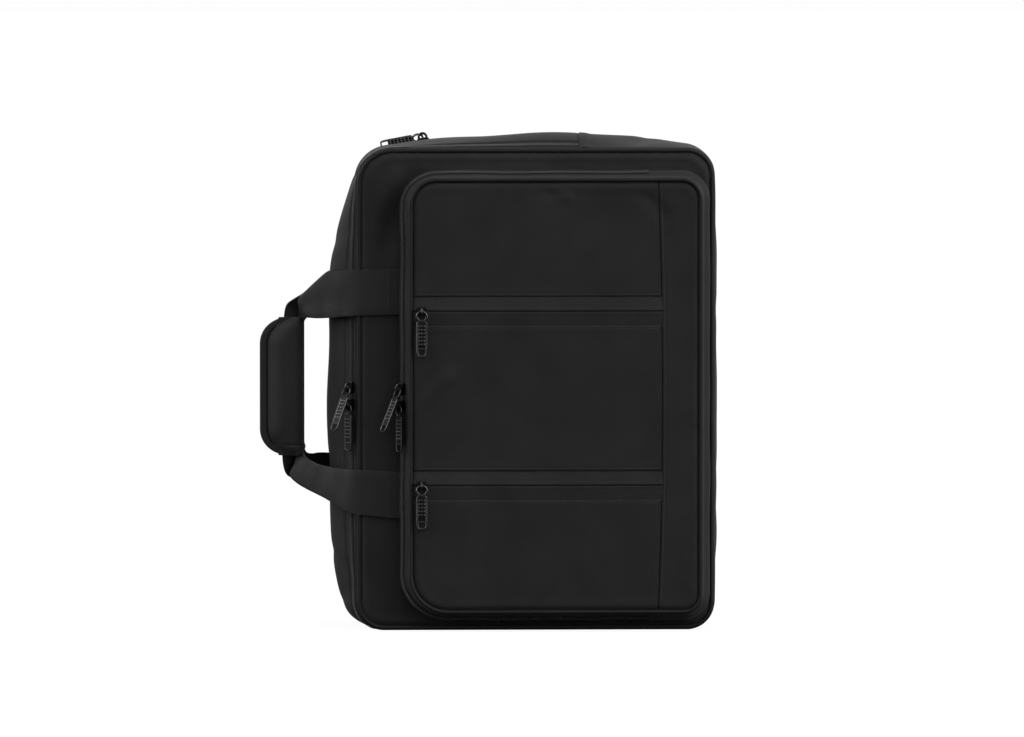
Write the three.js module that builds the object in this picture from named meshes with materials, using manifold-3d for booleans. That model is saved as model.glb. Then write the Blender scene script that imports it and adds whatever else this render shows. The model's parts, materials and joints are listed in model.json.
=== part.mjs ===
// Convertible backpack of black nylon, standing on its short end with the carry handle on its left.
// Millimetres. +X is to the right seen from the front, -Y is the front, +Z is up. The origin is the
// middle of the flat bottom of the main body, on the surface that the bag stands on.

import * as THREE from 'three';
import Module from 'manifold-3d';
import { mergeVertices } from 'three/addons/utils/BufferGeometryUtils.js';

// Main body: two panels with piped edges, and a gusset round them
const bodyWidth = 312;
const bodyHeight = 420;
const bodyDepth = 92;
const bodyCornerTopLeft = 32;
const bodyCorner = 24;
const panelThickness = 2.4;
const clothThickness = 1.5;
const pipingRadius = 2.2;
const pipingInset = 0.4;
const backPadHeight = 7;
const backPadBorder = 34;

// Swell of the gusset, outwards from the line of the panel's edge
const leftSwell = 24;
const topSwell = 11.5;
const rightSwell = 4;

// Zips of the main body, measured back from the front edge of the gusset, and where their strip ends
const chainWidth = 4.2;
const mainZipSetback = 4.6;
const rearZipSetback = 62;
const zipStripEnd = 38;

// Front compartment
const pocketLeft = -117;
const pocketRight = 153;
const pocketBottom = 10.5;
const pocketTop = 396.5;
const pocketDepth = 28;
const pocketTaper = 5.8;
const pocketSwell = 1.6;
const taperFrom = 8.4;
const taperOver = 15.4;
const pocketCornerTopLeft = 30;
const pocketCornerTopRight = 24;
const pocketCornerBottomRight = 22;
const pocketCornerBottomLeft = 40;
const pocketZipSetback = 16;
const pocketZipEnd = 100;
const pocketPipingRadius = 1.8;
const faceThickness = 1.6;
const faceCrown = 3.5;

// Slip pockets on its face
const sideSeamX = 108;
const sideSeamBow = 3.5;
const upperZipHeight = 279.3;
const lowerZipHeight = 128.2;
const zipTapeWidth = 24;
const tapeThickness = 1.2;
const tapeRecess = 0.5;
const seamGap = 0.4;

// Carry handle: two webbings that run through one wrapped grip
const webWidth = 40;
const webThickness = 1.8;
const upperWebHeight = 294.5;
const lowerWebHeight = 117.5;
const rearWebEnd = -128;
const foldedWidth = 18;
const foldedThickness = 3.6;
const handleReach = 57;
const gripBottom = 150;
const gripTop = 271;
const gripWidth = 39;
const gripThickness = 25;
const gripEdgeThickness = 8;
const gripWall = 3.4;
const gripCornerWidth = 25;
const gripCornerHeight = 23;

// Zip sliders and their pulls
const sliderLength = 11;
const sliderWidth = 8.4;
const sliderThickness = 2.6;
const bailRadius = 3.4;
const bailWire = 0.8;
const pullLength = 42;
const pullWidth = 9.4;
const pullThickness = 1.8;
const eyeRadius = 5.2;
const eyeHole = 3.4;
const upperSliderHeight = 211.5;
const sliderSpacing = 4;
const leanAngle = 25;
const topSliderX = -96;
const topPullDroop = -2;
const facePullX = -100;

// Clearance between neighbouring pieces
const fitGap = 0.3;

// Worked out from the sizes above
const gussetFront = -(bodyDepth / 2 - pipingRadius - fitGap);
const gussetBack = -gussetFront;
const panelFace = bodyDepth / 2 + panelThickness;
const panelInset = pipingInset + 2 * pipingRadius + fitGap;
const pocketBack = -(panelFace + fitGap);
const pocketFront = pocketBack - pocketDepth;
const pocketPipingY = pocketFront - fitGap - pocketPipingRadius;
const faceInset = pocketTaper + 2 * pocketPipingRadius + fitGap;
const faceY = pocketPipingY - pocketPipingRadius / 2;
const gripLineX = -bodyWidth / 2 - handleReach;
const lowerSliderHeight = upperSliderHeight - sliderLength - sliderSpacing;
const hingeHeight = fitGap + sliderThickness + fitGap + pullThickness / 2;
const eyeCentre = bailRadius + eyeHole - bailWire - fitGap;

const colours = {
  nylon: 0x232323,
  webbing: 0x262626,
  piping: 0x1d1d1d,
  zip: 0x1b1b1b,
  grip: 0x1f1e1d,
  backMesh: 0x202022,
  metal: 0x4a4a4c,
};

const bag = new THREE.Group();
const wasm = await Module();
wasm.setup();

function addPiece(name, geometry, colour, roughness, metalness = 0, parent = bag) {
  const material = new THREE.MeshStandardMaterial({ color: colour, roughness, metalness });
  const mesh = new THREE.Mesh(geometry, material);
  mesh.name = name;
  parent.add(mesh);
  return mesh;
}

// A smooth hump: 1 in the middle of the span, 0 at its ends, flatter on top for a higher power
function hump(value, low, high, power) {
  if (value <= low || value >= high) return 0;
  return 1 - Math.abs((2 * (value - low)) / (high - low) - 1) ** power;
}

function mix(from, to, share) {
  return from + (to - from) * share;
}

// Geometry helpers

// Indexed mesh from points and triangles, turned inside out when its volume comes out negative
function closedMesh(points, triangles) {
  let volume = 0;
  for (const [a, b, c] of triangles) {
    volume += points[a].dot(new THREE.Vector3().crossVectors(points[b], points[c]));
  }
  const indices = triangles.flatMap(([a, b, c]) => (volume < 0 ? [a, c, b] : [a, b, c]));
  const geometry = new THREE.BufferGeometry();
  geometry.setAttribute('position', new THREE.Float32BufferAttribute(points.flatMap((p) => p.toArray()), 3));
  geometry.setIndex(indices);
  return geometry;
}

// A wall between two equal grids of points, rows by columns, closed at its rims.
// With loop true the columns run round and meet.
function wallBetween(outer, inner, loop = false) {
  const rows = outer.length;
  const columns = outer[0].length;
  const points = [...outer.flat(), ...inner.flat()];
  const at = (side, row, column) => (side * rows + row) * columns + (column % columns);
  const triangles = [];
  const quad = (a, b, c, d) => triangles.push([a, b, c], [a, c, d]);
  const spans = loop ? columns : columns - 1;
  for (let row = 0; row < rows - 1; row += 1) {
    for (let column = 0; column < spans; column += 1) {
      const corners = (side) => [
        at(side, row, column), at(side, row, column + 1), at(side, row + 1, column + 1), at(side, row + 1, column),
      ];
      const [a, b, c, d] = corners(0);
      quad(a, b, c, d);
      const [e, f, g, h] = corners(1);
      quad(h, g, f, e);
    }
  }
  for (let column = 0; column < spans; column += 1) {
    quad(at(1, 0, column), at(1, 0, column + 1), at(0, 0, column + 1), at(0, 0, column));
    const last = rows - 1;
    quad(at(0, last, column), at(0, last, column + 1), at(1, last, column + 1), at(1, last, column));
  }
  if (!loop) {
    const last = columns - 1;
    for (let row = 0; row < rows - 1; row += 1) {
      quad(at(0, row, 0), at(0, row + 1, 0), at(1, row + 1, 0), at(1, row, 0));
      quad(at(1, row, last), at(1, row + 1, last), at(0, row + 1, last), at(0, row, last));
    }
  }
  return closedMesh(points, triangles);
}

// A rounded rectangle in XZ as stations with outward normals. It is walked from a point on the bottom
// leftwards, up the left side, along the top, down the right side and back.
function outlineStations(box, corners, startX, sideSteps, cornerSteps) {
  const stations = [];
  const side = (fromX, fromZ, toX, toZ, nx, nz, steps) => {
    for (let step = 0; step < steps; step += 1) {
      const share = step / steps;
      stations.push({ x: mix(fromX, toX, share), z: mix(fromZ, toZ, share), nx, nz });
    }
  };
  const corner = (x, z, radius, startAngle) => {
    for (let step = 0; step < cornerSteps; step += 1) {
      const angle = startAngle - (step / cornerSteps) * (Math.PI / 2);
      const nx = Math.cos(angle);
      const nz = Math.sin(angle);
      stations.push({ x: x + radius * nx, z: z + radius * nz, nx, nz });
    }
  };
  const { left, right, bottom, top } = box;
  const { topLeft, topRight, bottomRight, bottomLeft } = corners;
  side(startX, bottom, left + bottomLeft, bottom, 0, -1, 4);
  corner(left + bottomLeft, bottom + bottomLeft, bottomLeft, -Math.PI / 2);
  side(left, bottom + bottomLeft, left, top - topLeft, -1, 0, sideSteps);
  corner(left + topLeft, top - topLeft, topLeft, Math.PI);
  side(left + topLeft, top, startX, top, 0, 1, 5);
  const turn = stations.length;
  side(startX, top, right - topRight, top, 0, 1, 4);
  corner(right - topRight, top - topRight, topRight, Math.PI / 2);
  side(right, top - topRight, right, bottom + bottomRight, 1, 0, 6);
  corner(right - bottomRight, bottom + bottomRight, bottomRight, 0);
  side(right - bottomRight, bottom, startX, bottom, 0, -1, 2);
  return { all: stations, turn };
}

// The stations of one half, ending short of the join by half a gap
function halfOfOutline(outline, first) {
  const { all, turn } = outline;
  const half = first ? all.slice(0, turn + 1) : [...all.slice(turn), all[0]];
  const shift = (first ? -1 : 1) * (fitGap / 2);
  const ends = half.map((station) => ({ ...station }));
  ends[0].x += shift;
  ends[ends.length - 1].x += shift;
  return ends;
}

function placed(station, out, y) {
  return new THREE.Vector3(station.x + station.nx * out, y, station.z + station.nz * out);
}

// A cloth wall that follows the stations between two depths, its outer face given by outAt
function gussetStrip(stations, outAt, fromY, toY, rows, thickness, loop = false) {
  const grid = (inward) => Array.from({ length: rows + 1 }, (_, row) => {
    const y = mix(fromY, toY, row / rows);
    return stations.map((station) => placed(station, outAt(station, y) - inward, y));
  });
  return wallBetween(grid(0), grid(thickness), loop);
}

// A round cord sewn along closed stations
function pipingRing(stations, inset, y, radius, sides) {
  const points = [];
  const triangles = [];
  const count = stations.length;
  for (const station of stations) {
    for (let side = 0; side < sides; side += 1) {
      const angle = ((side + 0.5) * 2 * Math.PI) / sides;
      points.push(placed(station, radius * Math.cos(angle) - inset, y + radius * Math.sin(angle)));
    }
  }
  for (let station = 0; station < count; station += 1) {
    const next = (station + 1) % count;
    for (let side = 0; side < sides; side += 1) {
      const beside = (side + 1) % sides;
      const a = station * sides + side;
      const b = station * sides + beside;
      const c = next * sides + beside;
      const d = next * sides + side;
      triangles.push([a, b, c], [a, c, d]);
    }
  }
  return closedMesh(points, triangles);
}

// Main body outline and its swell

const bodyBox = { left: -bodyWidth / 2, right: bodyWidth / 2, bottom: 0, top: bodyHeight };
const bodyCorners = {
  topLeft: bodyCornerTopLeft, topRight: bodyCorner, bottomRight: bodyCorner, bottomLeft: bodyCorner,
};
const bodyOutline = outlineStations(bodyBox, bodyCorners, zipStripEnd, 9, 4);

function bodyOut(station, y) {
  const across = Math.max(0, Math.sin((Math.PI * (y - gussetFront)) / (gussetBack - gussetFront)));
  const left = Math.max(0, -station.nx) * leftSwell * hump(station.z, 0.024 * bodyHeight, 0.94 * bodyHeight, 4);
  const right = Math.max(0, station.nx) * rightSwell * hump(station.z, 0, bodyHeight, 4);
  const top = Math.max(0, station.nz) * topSwell * hump(station.x, -0.4 * bodyWidth, 0.48 * bodyWidth, 2);
  return across * (left + right + top);
}

// Panels

function panelGeometry(fromY, toY) {
  const shape = new THREE.Shape(bodyOutline.all.map((station) => {
    const point = placed(station, -panelInset, 0);
    return new THREE.Vector2(point.x, point.z);
  }));
  const geometry = new THREE.ExtrudeGeometry(shape, { depth: toY - fromY, bevelEnabled: false });
  geometry.rotateX(Math.PI / 2);
  geometry.translate(0, toY, 0);
  return geometry;
}

addPiece('front_panel', panelGeometry(-panelFace, -bodyDepth / 2), colours.nylon, 0.75);

// The padded back: nested copies of the outline, shrunk towards the middle and raised
const padRings = [
  { shrink: 0, rise: 0 },
  { shrink: 1, rise: 0 },
  { shrink: 1.3, rise: 0.5 },
  { shrink: 1.9, rise: 0.85 },
  { shrink: 3, rise: 1 },
];

function backPanelGeometry() {
  const edge = bodyOutline.all.map((station) => placed(station, -panelInset, 0));
  const middle = new THREE.Vector3(0, 0, bodyHeight / 2);
  const points = [];
  const triangles = [];
  for (const ring of padRings) {
    for (const point of edge) {
      const inset = ring.shrink * backPadBorder;
      points.push(new THREE.Vector3(
        point.x * (1 - (2 * inset) / bodyWidth),
        panelFace + ring.rise * backPadHeight,
        mix(point.z, middle.z, (2 * inset) / bodyHeight),
      ));
    }
  }
  const count = edge.length;
  const base = points.length;
  for (const point of edge) points.push(new THREE.Vector3(point.x, bodyDepth / 2, point.z));
  const crown = points.push(new THREE.Vector3(middle.x, panelFace + backPadHeight, middle.z)) - 1;
  const under = points.push(new THREE.Vector3(middle.x, bodyDepth / 2, middle.z)) - 1;
  for (let station = 0; station < count; station += 1) {
    const next = (station + 1) % count;
    for (let ring = 0; ring < padRings.length - 1; ring += 1) {
      const a = ring * count + station;
      const b = ring * count + next;
      const c = (ring + 1) * count + next;
      const d = (ring + 1) * count + station;
      triangles.push([a, b, c], [a, c, d]);
    }
    const last = (padRings.length - 1) * count;
    triangles.push([last + station, last + next, crown]);
    triangles.push([base + station, next, station], [base + station, base + next, next]);
    triangles.push([base + next, base + station, under]);
  }
  return closedMesh(points, triangles);
}

addPiece('back_panel', backPanelGeometry(), colours.backMesh, 0.85);

// Piping on both seams

for (const [name, y] of [['front_piping', -bodyDepth / 2], ['back_piping', bodyDepth / 2]]) {
  const geometry = pipingRing(bodyOutline.all, pipingInset + pipingRadius, y, pipingRadius, 6);
  addPiece(name, geometry, colours.piping, 0.7);
}

// Gusset: on the zip side, strips of cloth with a zip chain set between them

const zipSide = halfOfOutline(bodyOutline, true);
const plainSide = halfOfOutline(bodyOutline, false);
const mainChainY = gussetFront + mainZipSetback;
const rearChainY = gussetFront + rearZipSetback;
const halfChain = chainWidth / 2;

const bodyStrips = [
  { name: 'gusset_front_strip', from: gussetFront, to: mainChainY - halfChain - fitGap, rows: 1 },
  { name: 'gusset_middle_strip', from: mainChainY + halfChain + fitGap, to: rearChainY - halfChain - fitGap, rows: 6 },
  { name: 'gusset_rear_strip', from: rearChainY + halfChain + fitGap, to: gussetBack, rows: 3 },
];
for (const { name, from, to, rows } of bodyStrips) {
  addPiece(name, gussetStrip(zipSide, bodyOut, from, to, rows, clothThickness), colours.nylon, 0.7);
}
for (const [name, y] of [['main_zip_chain', mainChainY], ['rear_zip_chain', rearChainY]]) {
  const geometry = gussetStrip(zipSide, bodyOut, y - halfChain, y + halfChain, 1, clothThickness);
  addPiece(name, geometry, colours.zip, 0.45);
}
addPiece(
  'base_gusset', gussetStrip(plainSide, bodyOut, gussetFront, gussetBack, 8, clothThickness), colours.nylon, 0.7,
);

// Front compartment: the wall round it

const pocketBox = { left: pocketLeft, right: pocketRight, bottom: pocketBottom, top: pocketTop };
const pocketCorners = {
  topLeft: pocketCornerTopLeft,
  topRight: pocketCornerTopRight,
  bottomRight: pocketCornerBottomRight,
  bottomLeft: pocketCornerBottomLeft,
};
const pocketOutline = outlineStations(pocketBox, pocketCorners, pocketZipEnd, 6, 4);

function pocketOut(station, y) {
  const share = Math.min(1, Math.max(0, (pocketBack - y) / pocketDepth));
  const slope = Math.min(1, Math.max(0, (pocketBack - y - taperFrom) / taperOver));
  return pocketSwell * Math.sin(Math.PI * share) - pocketTaper * slope * slope * (3 - 2 * slope);
}

const pocketZipSide = halfOfOutline(pocketOutline, true);
const pocketPlainSide = halfOfOutline(pocketOutline, false);
const pocketChainY = pocketBack - pocketZipSetback;

const pocketStrips = [
  { name: 'pocket_rear_strip', from: pocketBack, to: pocketChainY + halfChain + fitGap },
  { name: 'pocket_front_strip', from: pocketChainY - halfChain - fitGap, to: pocketFront },
];
for (const { name, from, to } of pocketStrips) {
  addPiece(name, gussetStrip(pocketZipSide, pocketOut, from, to, 2, clothThickness), colours.nylon, 0.7);
}
addPiece(
  'pocket_zip_chain',
  gussetStrip(pocketZipSide, pocketOut, pocketChainY + halfChain, pocketChainY - halfChain, 1, clothThickness),
  colours.zip,
  0.45,
);
addPiece(
  'pocket_side_wall',
  gussetStrip(pocketPlainSide, pocketOut, pocketBack, pocketFront, 4, clothThickness),
  colours.nylon,
  0.7,
);
addPiece(
  'pocket_piping',
  pipingRing(pocketOutline.all, pocketTaper + pocketPipingRadius, pocketPipingY, pocketPipingRadius, 6),
  colours.piping,
  0.7,
);

// Front compartment: the panels of its face, cut along two zips and one bowed seam

const faceBox = {
  left: pocketLeft + faceInset, right: pocketRight - faceInset,
  bottom: pocketBottom + faceInset, top: pocketTop - faceInset,
};

// Soft dents of the filled compartment: place as shares of the face, depth and reach in millimetres
const faceDents = [
  { across: 0.63, up: 0.94, depth: 1.6, reach: 34 },
  { across: 0.94, up: 0.92, depth: 1.4, reach: 26 },
  { across: 0.10, up: 0.58, depth: -0.8, reach: 30 },
];

function faceRise(x, z) {
  const across = (x - faceBox.left) / (faceBox.right - faceBox.left);
  const up = (z - faceBox.bottom) / (faceBox.top - faceBox.bottom);
  let rise = faceCrown * (1 - Math.abs(2 * across - 1) ** 3) * (1 - Math.abs(2 * up - 1) ** 3);
  for (const dent of faceDents) {
    const dx = x - mix(faceBox.left, faceBox.right, dent.across);
    const dz = z - mix(faceBox.bottom, faceBox.top, dent.up);
    rise -= dent.depth * Math.exp(-(dx * dx + dz * dz) / (dent.reach * dent.reach));
  }
  return Math.max(0, rise);
}

// The x of the face's left or right edge at a height, round its corners
function faceEdge(z, sideX, inwards, lowRadius, highRadius) {
  const low = lowRadius - faceInset;
  const high = highRadius - faceInset;
  const under = faceBox.bottom + low - z;
  const over = z - (faceBox.top - high);
  if (under > 0) return sideX + inwards * (low - Math.sqrt(Math.max(0, low * low - under * under)));
  if (over > 0) return sideX + inwards * (high - Math.sqrt(Math.max(0, high * high - over * over)));
  return sideX;
}

const leftEdge = (z) => faceEdge(z, faceBox.left, 1, pocketCornerBottomLeft, pocketCornerTopLeft);
const rightEdge = (z) => faceEdge(z, faceBox.right, -1, pocketCornerBottomRight, pocketCornerTopRight);

function seamX(z) {
  return sideSeamX + sideSeamBow * hump(z, faceBox.bottom, faceBox.top, 2);
}

// Heights of the rows of a face panel: even steps, and finer ones round a corner
function rowHeights(low, high, lowRadius, highRadius) {
  const radiusLow = lowRadius === 0 ? 0 : lowRadius - faceInset;
  const radiusHigh = highRadius === 0 ? 0 : highRadius - faceInset;
  const heights = [];
  const cornerSteps = 4;
  for (let step = 0; step < cornerSteps && radiusLow > 0; step += 1) {
    heights.push(low + radiusLow * (1 - Math.cos((step / cornerSteps) * (Math.PI / 2))));
  }
  const straightLow = low + radiusLow;
  const straightHigh = high - radiusHigh;
  const steps = Math.max(1, Math.round((straightHigh - straightLow) / 40));
  for (let step = 0; step <= steps; step += 1) heights.push(mix(straightLow, straightHigh, step / steps));
  for (let step = 1; step <= cornerSteps && radiusHigh > 0; step += 1) {
    heights.push(high - radiusHigh * (1 - Math.sin((step / cornerSteps) * (Math.PI / 2))));
  }
  return heights;
}

function facePanel(heights, fromX, toX, columns, sink, thickness) {
  const grid = (inward) => heights.map((z) => Array.from({ length: columns + 1 }, (_, column) => {
    const x = mix(fromX(z), toX(z), column / columns);
    return new THREE.Vector3(x, faceY - faceRise(x, z) + sink + inward, z);
  }));
  return wallBetween(grid(0), grid(thickness));
}

const halfTape = zipTapeWidth / 2;
const beforeSeam = (z) => seamX(z) - seamGap;
const facePanels = [
  {
    name: 'face_bottom_panel', low: faceBox.bottom, high: lowerZipHeight - halfTape - seamGap,
    lowRadius: pocketCornerBottomLeft, highRadius: 0,
  },
  {
    name: 'face_middle_panel', low: lowerZipHeight + halfTape + seamGap,
    high: upperZipHeight - halfTape - seamGap, lowRadius: 0, highRadius: 0,
  },
  {
    name: 'face_top_panel', low: upperZipHeight + halfTape + seamGap, high: faceBox.top,
    lowRadius: 0, highRadius: pocketCornerTopLeft,
  },
];
for (const { name, low, high, lowRadius, highRadius } of facePanels) {
  const heights = rowHeights(low, high, lowRadius, highRadius);
  addPiece(name, facePanel(heights, leftEdge, beforeSeam, 6, 0, faceThickness), colours.nylon, 0.75);
}
addPiece(
  'face_side_panel',
  facePanel(
    rowHeights(faceBox.bottom, faceBox.top, pocketCornerBottomRight, pocketCornerTopRight),
    seamX, rightEdge, 2, 0, faceThickness,
  ),
  colours.nylon,
  0.75,
);
for (const [name, height] of [['upper_pocket_zip', upperZipHeight], ['lower_pocket_zip', lowerZipHeight]]) {
  const heights = [height - halfTape, height, height + halfTape];
  const geometry = facePanel(heights, leftEdge, beforeSeam, 6, tapeRecess, tapeThickness);
  addPiece(name, geometry, colours.zip, 0.6);
}

// Carry handle. Each row is one cross-section of a webbing from the edge of the body to the grip.
// outer and inner are its two edges: out is a share of the handle's reach, rise a share of the
// webbing's width above its middle line. back is the share of the way from the panel to the grip.
const webSections = [
  { outer: { out: 0, rise: 0.5 }, inner: { out: 0, rise: -0.5 }, back: 0, fold: 0 },
  { outer: { out: 0.16, rise: 0.49 }, inner: { out: 0.16, rise: -0.5 }, back: 0.02, fold: 0 },
  { outer: { out: 0.34, rise: 0.45 }, inner: { out: 0.34, rise: -0.51 }, back: 0.13, fold: 0 },
  { outer: { out: 0.56, rise: 0.27 }, inner: { out: 0.52, rise: -0.51 }, back: 0.36, fold: 0.1 },
  { outer: { out: 0.80, rise: 0.06 }, inner: { out: 0.68, rise: -0.51 }, back: 0.62, fold: 0.3 },
  { outer: { out: 1.00, rise: -0.10 }, inner: { out: 0.78, rise: -0.515 }, back: 0.83, fold: 0.6 },
  { outer: { out: 1.13, rise: -0.28 }, inner: { out: 0.83, rise: -0.525 }, back: 0.95, fold: 0.85 },
];

function webEdges(height, direction, panelY, gripY) {
  const point = (edge, back) => new THREE.Vector3(
    -bodyWidth / 2 - edge.out * handleReach, mix(panelY, gripY, back), height + direction * edge.rise * webWidth,
  );
  return webSections.map((section) => ({
    outer: point(section.outer, section.back),
    inner: point(section.inner, section.back),
    thickness: mix(webThickness, foldedThickness, section.fold),
  }));
}

// One webbing from its upper end, through the grip, to its lower end. side is -1 in front, 1 behind.
function webGeometry(side, endX) {
  const panelY = side * (panelFace + fitGap + webThickness / 2);
  const gripY = side * (fitGap / 2 + foldedThickness / 2);
  const sewn = (height, direction) => [0, 0.5].map((share) => ({
    outer: new THREE.Vector3(mix(endX, -bodyWidth / 2, share), panelY, height + direction * 0.5 * webWidth),
    inner: new THREE.Vector3(mix(endX, -bodyWidth / 2, share), panelY, height - direction * 0.5 * webWidth),
    thickness: webThickness,
  }));
  const inGrip = [gripTop + fitGap, gripBottom - fitGap].map((z) => ({
    outer: new THREE.Vector3(gripLineX - foldedWidth / 2, gripY, z),
    inner: new THREE.Vector3(gripLineX + foldedWidth / 2, gripY, z),
    thickness: foldedThickness,
  }));
  const sections = [
    ...sewn(upperWebHeight, 1), ...webEdges(upperWebHeight, 1, panelY, gripY), ...inGrip,
    ...webEdges(lowerWebHeight, -1, panelY, gripY).reverse(), ...sewn(lowerWebHeight, -1).reverse(),
  ];
  const faces = sections.map((section, index) => {
    const before = sections[Math.max(0, index - 1)];
    const after = sections[Math.min(sections.length - 1, index + 1)];
    const travel = new THREE.Vector3().addVectors(after.outer, after.inner).sub(before.outer).sub(before.inner);
    const across = new THREE.Vector3().subVectors(section.outer, section.inner);
    const normal = new THREE.Vector3().crossVectors(across, travel).normalize();
    normal.multiplyScalar(section.thickness / 2);
    const row = (sign) => [section.outer, section.inner].map((point) => point.clone().addScaledVector(normal, sign));
    return { front: row(1), back: row(-1) };
  });
  return wallBetween(faces.map((face) => face.front), faces.map((face) => face.back));
}

addPiece('front_handle_web', webGeometry(-1, pocketLeft - fitGap), colours.webbing, 0.65);
addPiece('rear_handle_web', webGeometry(1, rearWebEnd), colours.webbing, 0.65);

// The wrapped grip: a padded sheet folded round both webbings, its joined edges pointing away from the bag
function gripGeometry() {
  const foldX = gripLineX + foldedWidth / 2 + fitGap + gripWall;
  const slotLeft = gripLineX - foldedWidth / 2 - fitGap;
  const slotRight = gripLineX + foldedWidth / 2 + fitGap;
  const slotHalf = fitGap * 1.5 + foldedThickness;
  const sides = 16;
  const cornerHeights = [0, 0.08, 0.3, 0.62, 1];
  const low = cornerHeights.map((share) => gripBottom + share * gripCornerHeight);
  const high = cornerHeights.map((share) => gripTop - share * gripCornerHeight).reverse();
  const outer = [];
  const inner = [];
  for (const z of [...low, ...high]) {
    const toEnd = Math.min(z - gripBottom, gripTop - z);
    const share = Math.min(1, toEnd / gripCornerHeight);
    const cut = gripCornerWidth * (1 - Math.sqrt(1 - (1 - share) ** 2)) * (share < 1 ? 1 : 0);
    const reach = gripWidth - Math.min(cut, gripWidth - (foldX - slotLeft) - gripWall);
    const ends = 0.86 + 0.14 * Math.sqrt(1 - (1 - share) ** 2);
    outer.push([]);
    inner.push([]);
    for (let side = 0; side < sides; side += 1) {
      const angle = ((side + 0.5) * 2 * Math.PI) / sides;
      const across = (1 + Math.cos(angle)) / 2;
      const thick = mix(gripEdgeThickness, gripThickness, Math.min(1, across * 1.6)) * ends;
      outer[outer.length - 1].push(new THREE.Vector3(
        foldX - reach * (1 - across), Math.sign(Math.sin(angle)) * Math.abs(Math.sin(angle)) ** 0.7 * thick / 2, z,
      ));
      const limitX = Math.min(slotRight, Math.max(slotLeft, (slotLeft + slotRight) / 2 + Math.cos(angle) * foldedWidth));
      const limitY = Math.min(slotHalf, Math.max(-slotHalf, Math.sin(angle) * foldedWidth));
      inner[inner.length - 1].push(new THREE.Vector3(limitX, limitY, z));
    }
  }
  return wallBetween(outer, inner, true);
}

addPiece('handle_grip', gripGeometry(), colours.grip, 0.8);

// Zip sliders and pulls

function toManifold(geometry) {
  const plain = geometry.clone();
  plain.deleteAttribute('normal');
  plain.deleteAttribute('uv');
  const merged = mergeVertices(plain, 1e-4);
  return new wasm.Manifold(new wasm.Mesh({
    numProp: 3,
    vertProperties: new Float32Array(merged.attributes.position.array),
    triVerts: new Uint32Array(merged.index.array),
  }));
}

function fromManifold(solid) {
  const mesh = solid.getMesh();
  const geometry = new THREE.BufferGeometry();
  geometry.setAttribute('position', new THREE.BufferAttribute(new Float32Array(mesh.vertProperties), 3));
  geometry.setIndex(new THREE.BufferAttribute(new Uint32Array(mesh.triVerts), 1));
  return geometry;
}

// Own frame of a slider: X is the hinge, -Y the way the pull hangs, Z out of the bag; the origin is on the zip.
// The body lies along the zip, which is Y, or X where the pull hangs across the zip.
function sliderGeometry(alongHinge) {
  const halfLength = sliderLength / 2;
  const halfWidth = sliderWidth / 2;
  const outline = [
    [halfLength, 0.8 * halfWidth], [0.6 * halfLength, halfWidth], [-0.5 * halfLength, halfWidth],
    [-halfLength, 0.55 * halfWidth],
  ];
  const corners = [...outline, ...outline.map(([along, across]) => [along, -across]).reverse()];
  const shape = new THREE.Shape(corners.map(([along, across]) => (
    alongHinge ? new THREE.Vector2(along, across) : new THREE.Vector2(across, along)
  )));
  const body = new THREE.ExtrudeGeometry(shape, { depth: sliderThickness, bevelEnabled: false });
  body.translate(0, 0, fitGap);
  const foot = hingeHeight - sliderThickness;
  const arch = [new THREE.Vector3(0, bailRadius, foot)];
  for (let step = 0; step <= 6; step += 1) {
    const angle = (step / 6) * Math.PI;
    arch.push(new THREE.Vector3(0, bailRadius * Math.cos(angle), hingeHeight + bailRadius * Math.sin(angle)));
  }
  arch.push(new THREE.Vector3(0, -bailRadius, foot));
  const section = new THREE.Shape(Array.from({ length: 6 }, (_, side) => (
    new THREE.Vector2(bailWire * Math.cos((side * Math.PI) / 3), bailWire * Math.sin((side * Math.PI) / 3))
  )));
  const bail = new THREE.ExtrudeGeometry(section, {
    steps: 12, bevelEnabled: false, extrudePath: new THREE.CatmullRomCurve3(arch, false, 'centripetal'),
  });
  return fromManifold(toManifold(body).add(toManifold(bail)));
}

// Own frame of a pull: X is the hinge and the origin is on it, -Y runs down the tab, Z is its thickness
function pullGeometry() {
  const halfWidth = pullWidth / 2;
  const neck = eyeCentre + 0.8 * eyeRadius;
  const shape = new THREE.Shape();
  const eyeSteps = 10;
  const open = Math.asin(0.6);
  for (let step = 0; step <= eyeSteps; step += 1) {
    const angle = mix(-open, Math.PI + open, step / eyeSteps);
    const x = eyeRadius * Math.cos(angle);
    const y = -eyeCentre + eyeRadius * Math.sin(angle);
    if (step === 0) shape.moveTo(x, y);
    else shape.lineTo(x, y);
  }
  shape.lineTo(-halfWidth, -neck - 1.5);
  shape.lineTo(-halfWidth, -pullLength + 7);
  shape.lineTo(-0.75 * halfWidth, -pullLength);
  shape.lineTo(0.75 * halfWidth, -pullLength);
  shape.lineTo(halfWidth, -pullLength + 7);
  shape.lineTo(halfWidth, -neck - 1.5);
  const eye = new THREE.Path();
  for (let step = 0; step < eyeSteps; step += 1) {
    const angle = -(step / eyeSteps) * 2 * Math.PI;
    const x = eyeHole * Math.cos(angle);
    const y = -eyeCentre + eyeHole * Math.sin(angle);
    if (step === 0) eye.moveTo(x, y);
    else eye.lineTo(x, y);
  }
  eye.closePath();
  const slot = new THREE.Path([
    new THREE.Vector2(-0.5 * halfWidth, -pullLength + 1.8), new THREE.Vector2(0.5 * halfWidth, -pullLength + 1.8),
    new THREE.Vector2(0.62 * halfWidth, -pullLength + 7), new THREE.Vector2(-0.62 * halfWidth, -pullLength + 7),
  ]);
  shape.holes.push(eye, slot);
  const geometry = new THREE.ExtrudeGeometry(shape, { depth: pullThickness, bevelEnabled: false });
  geometry.translate(0, 0, -pullThickness / 2);
  return geometry;
}

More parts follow.
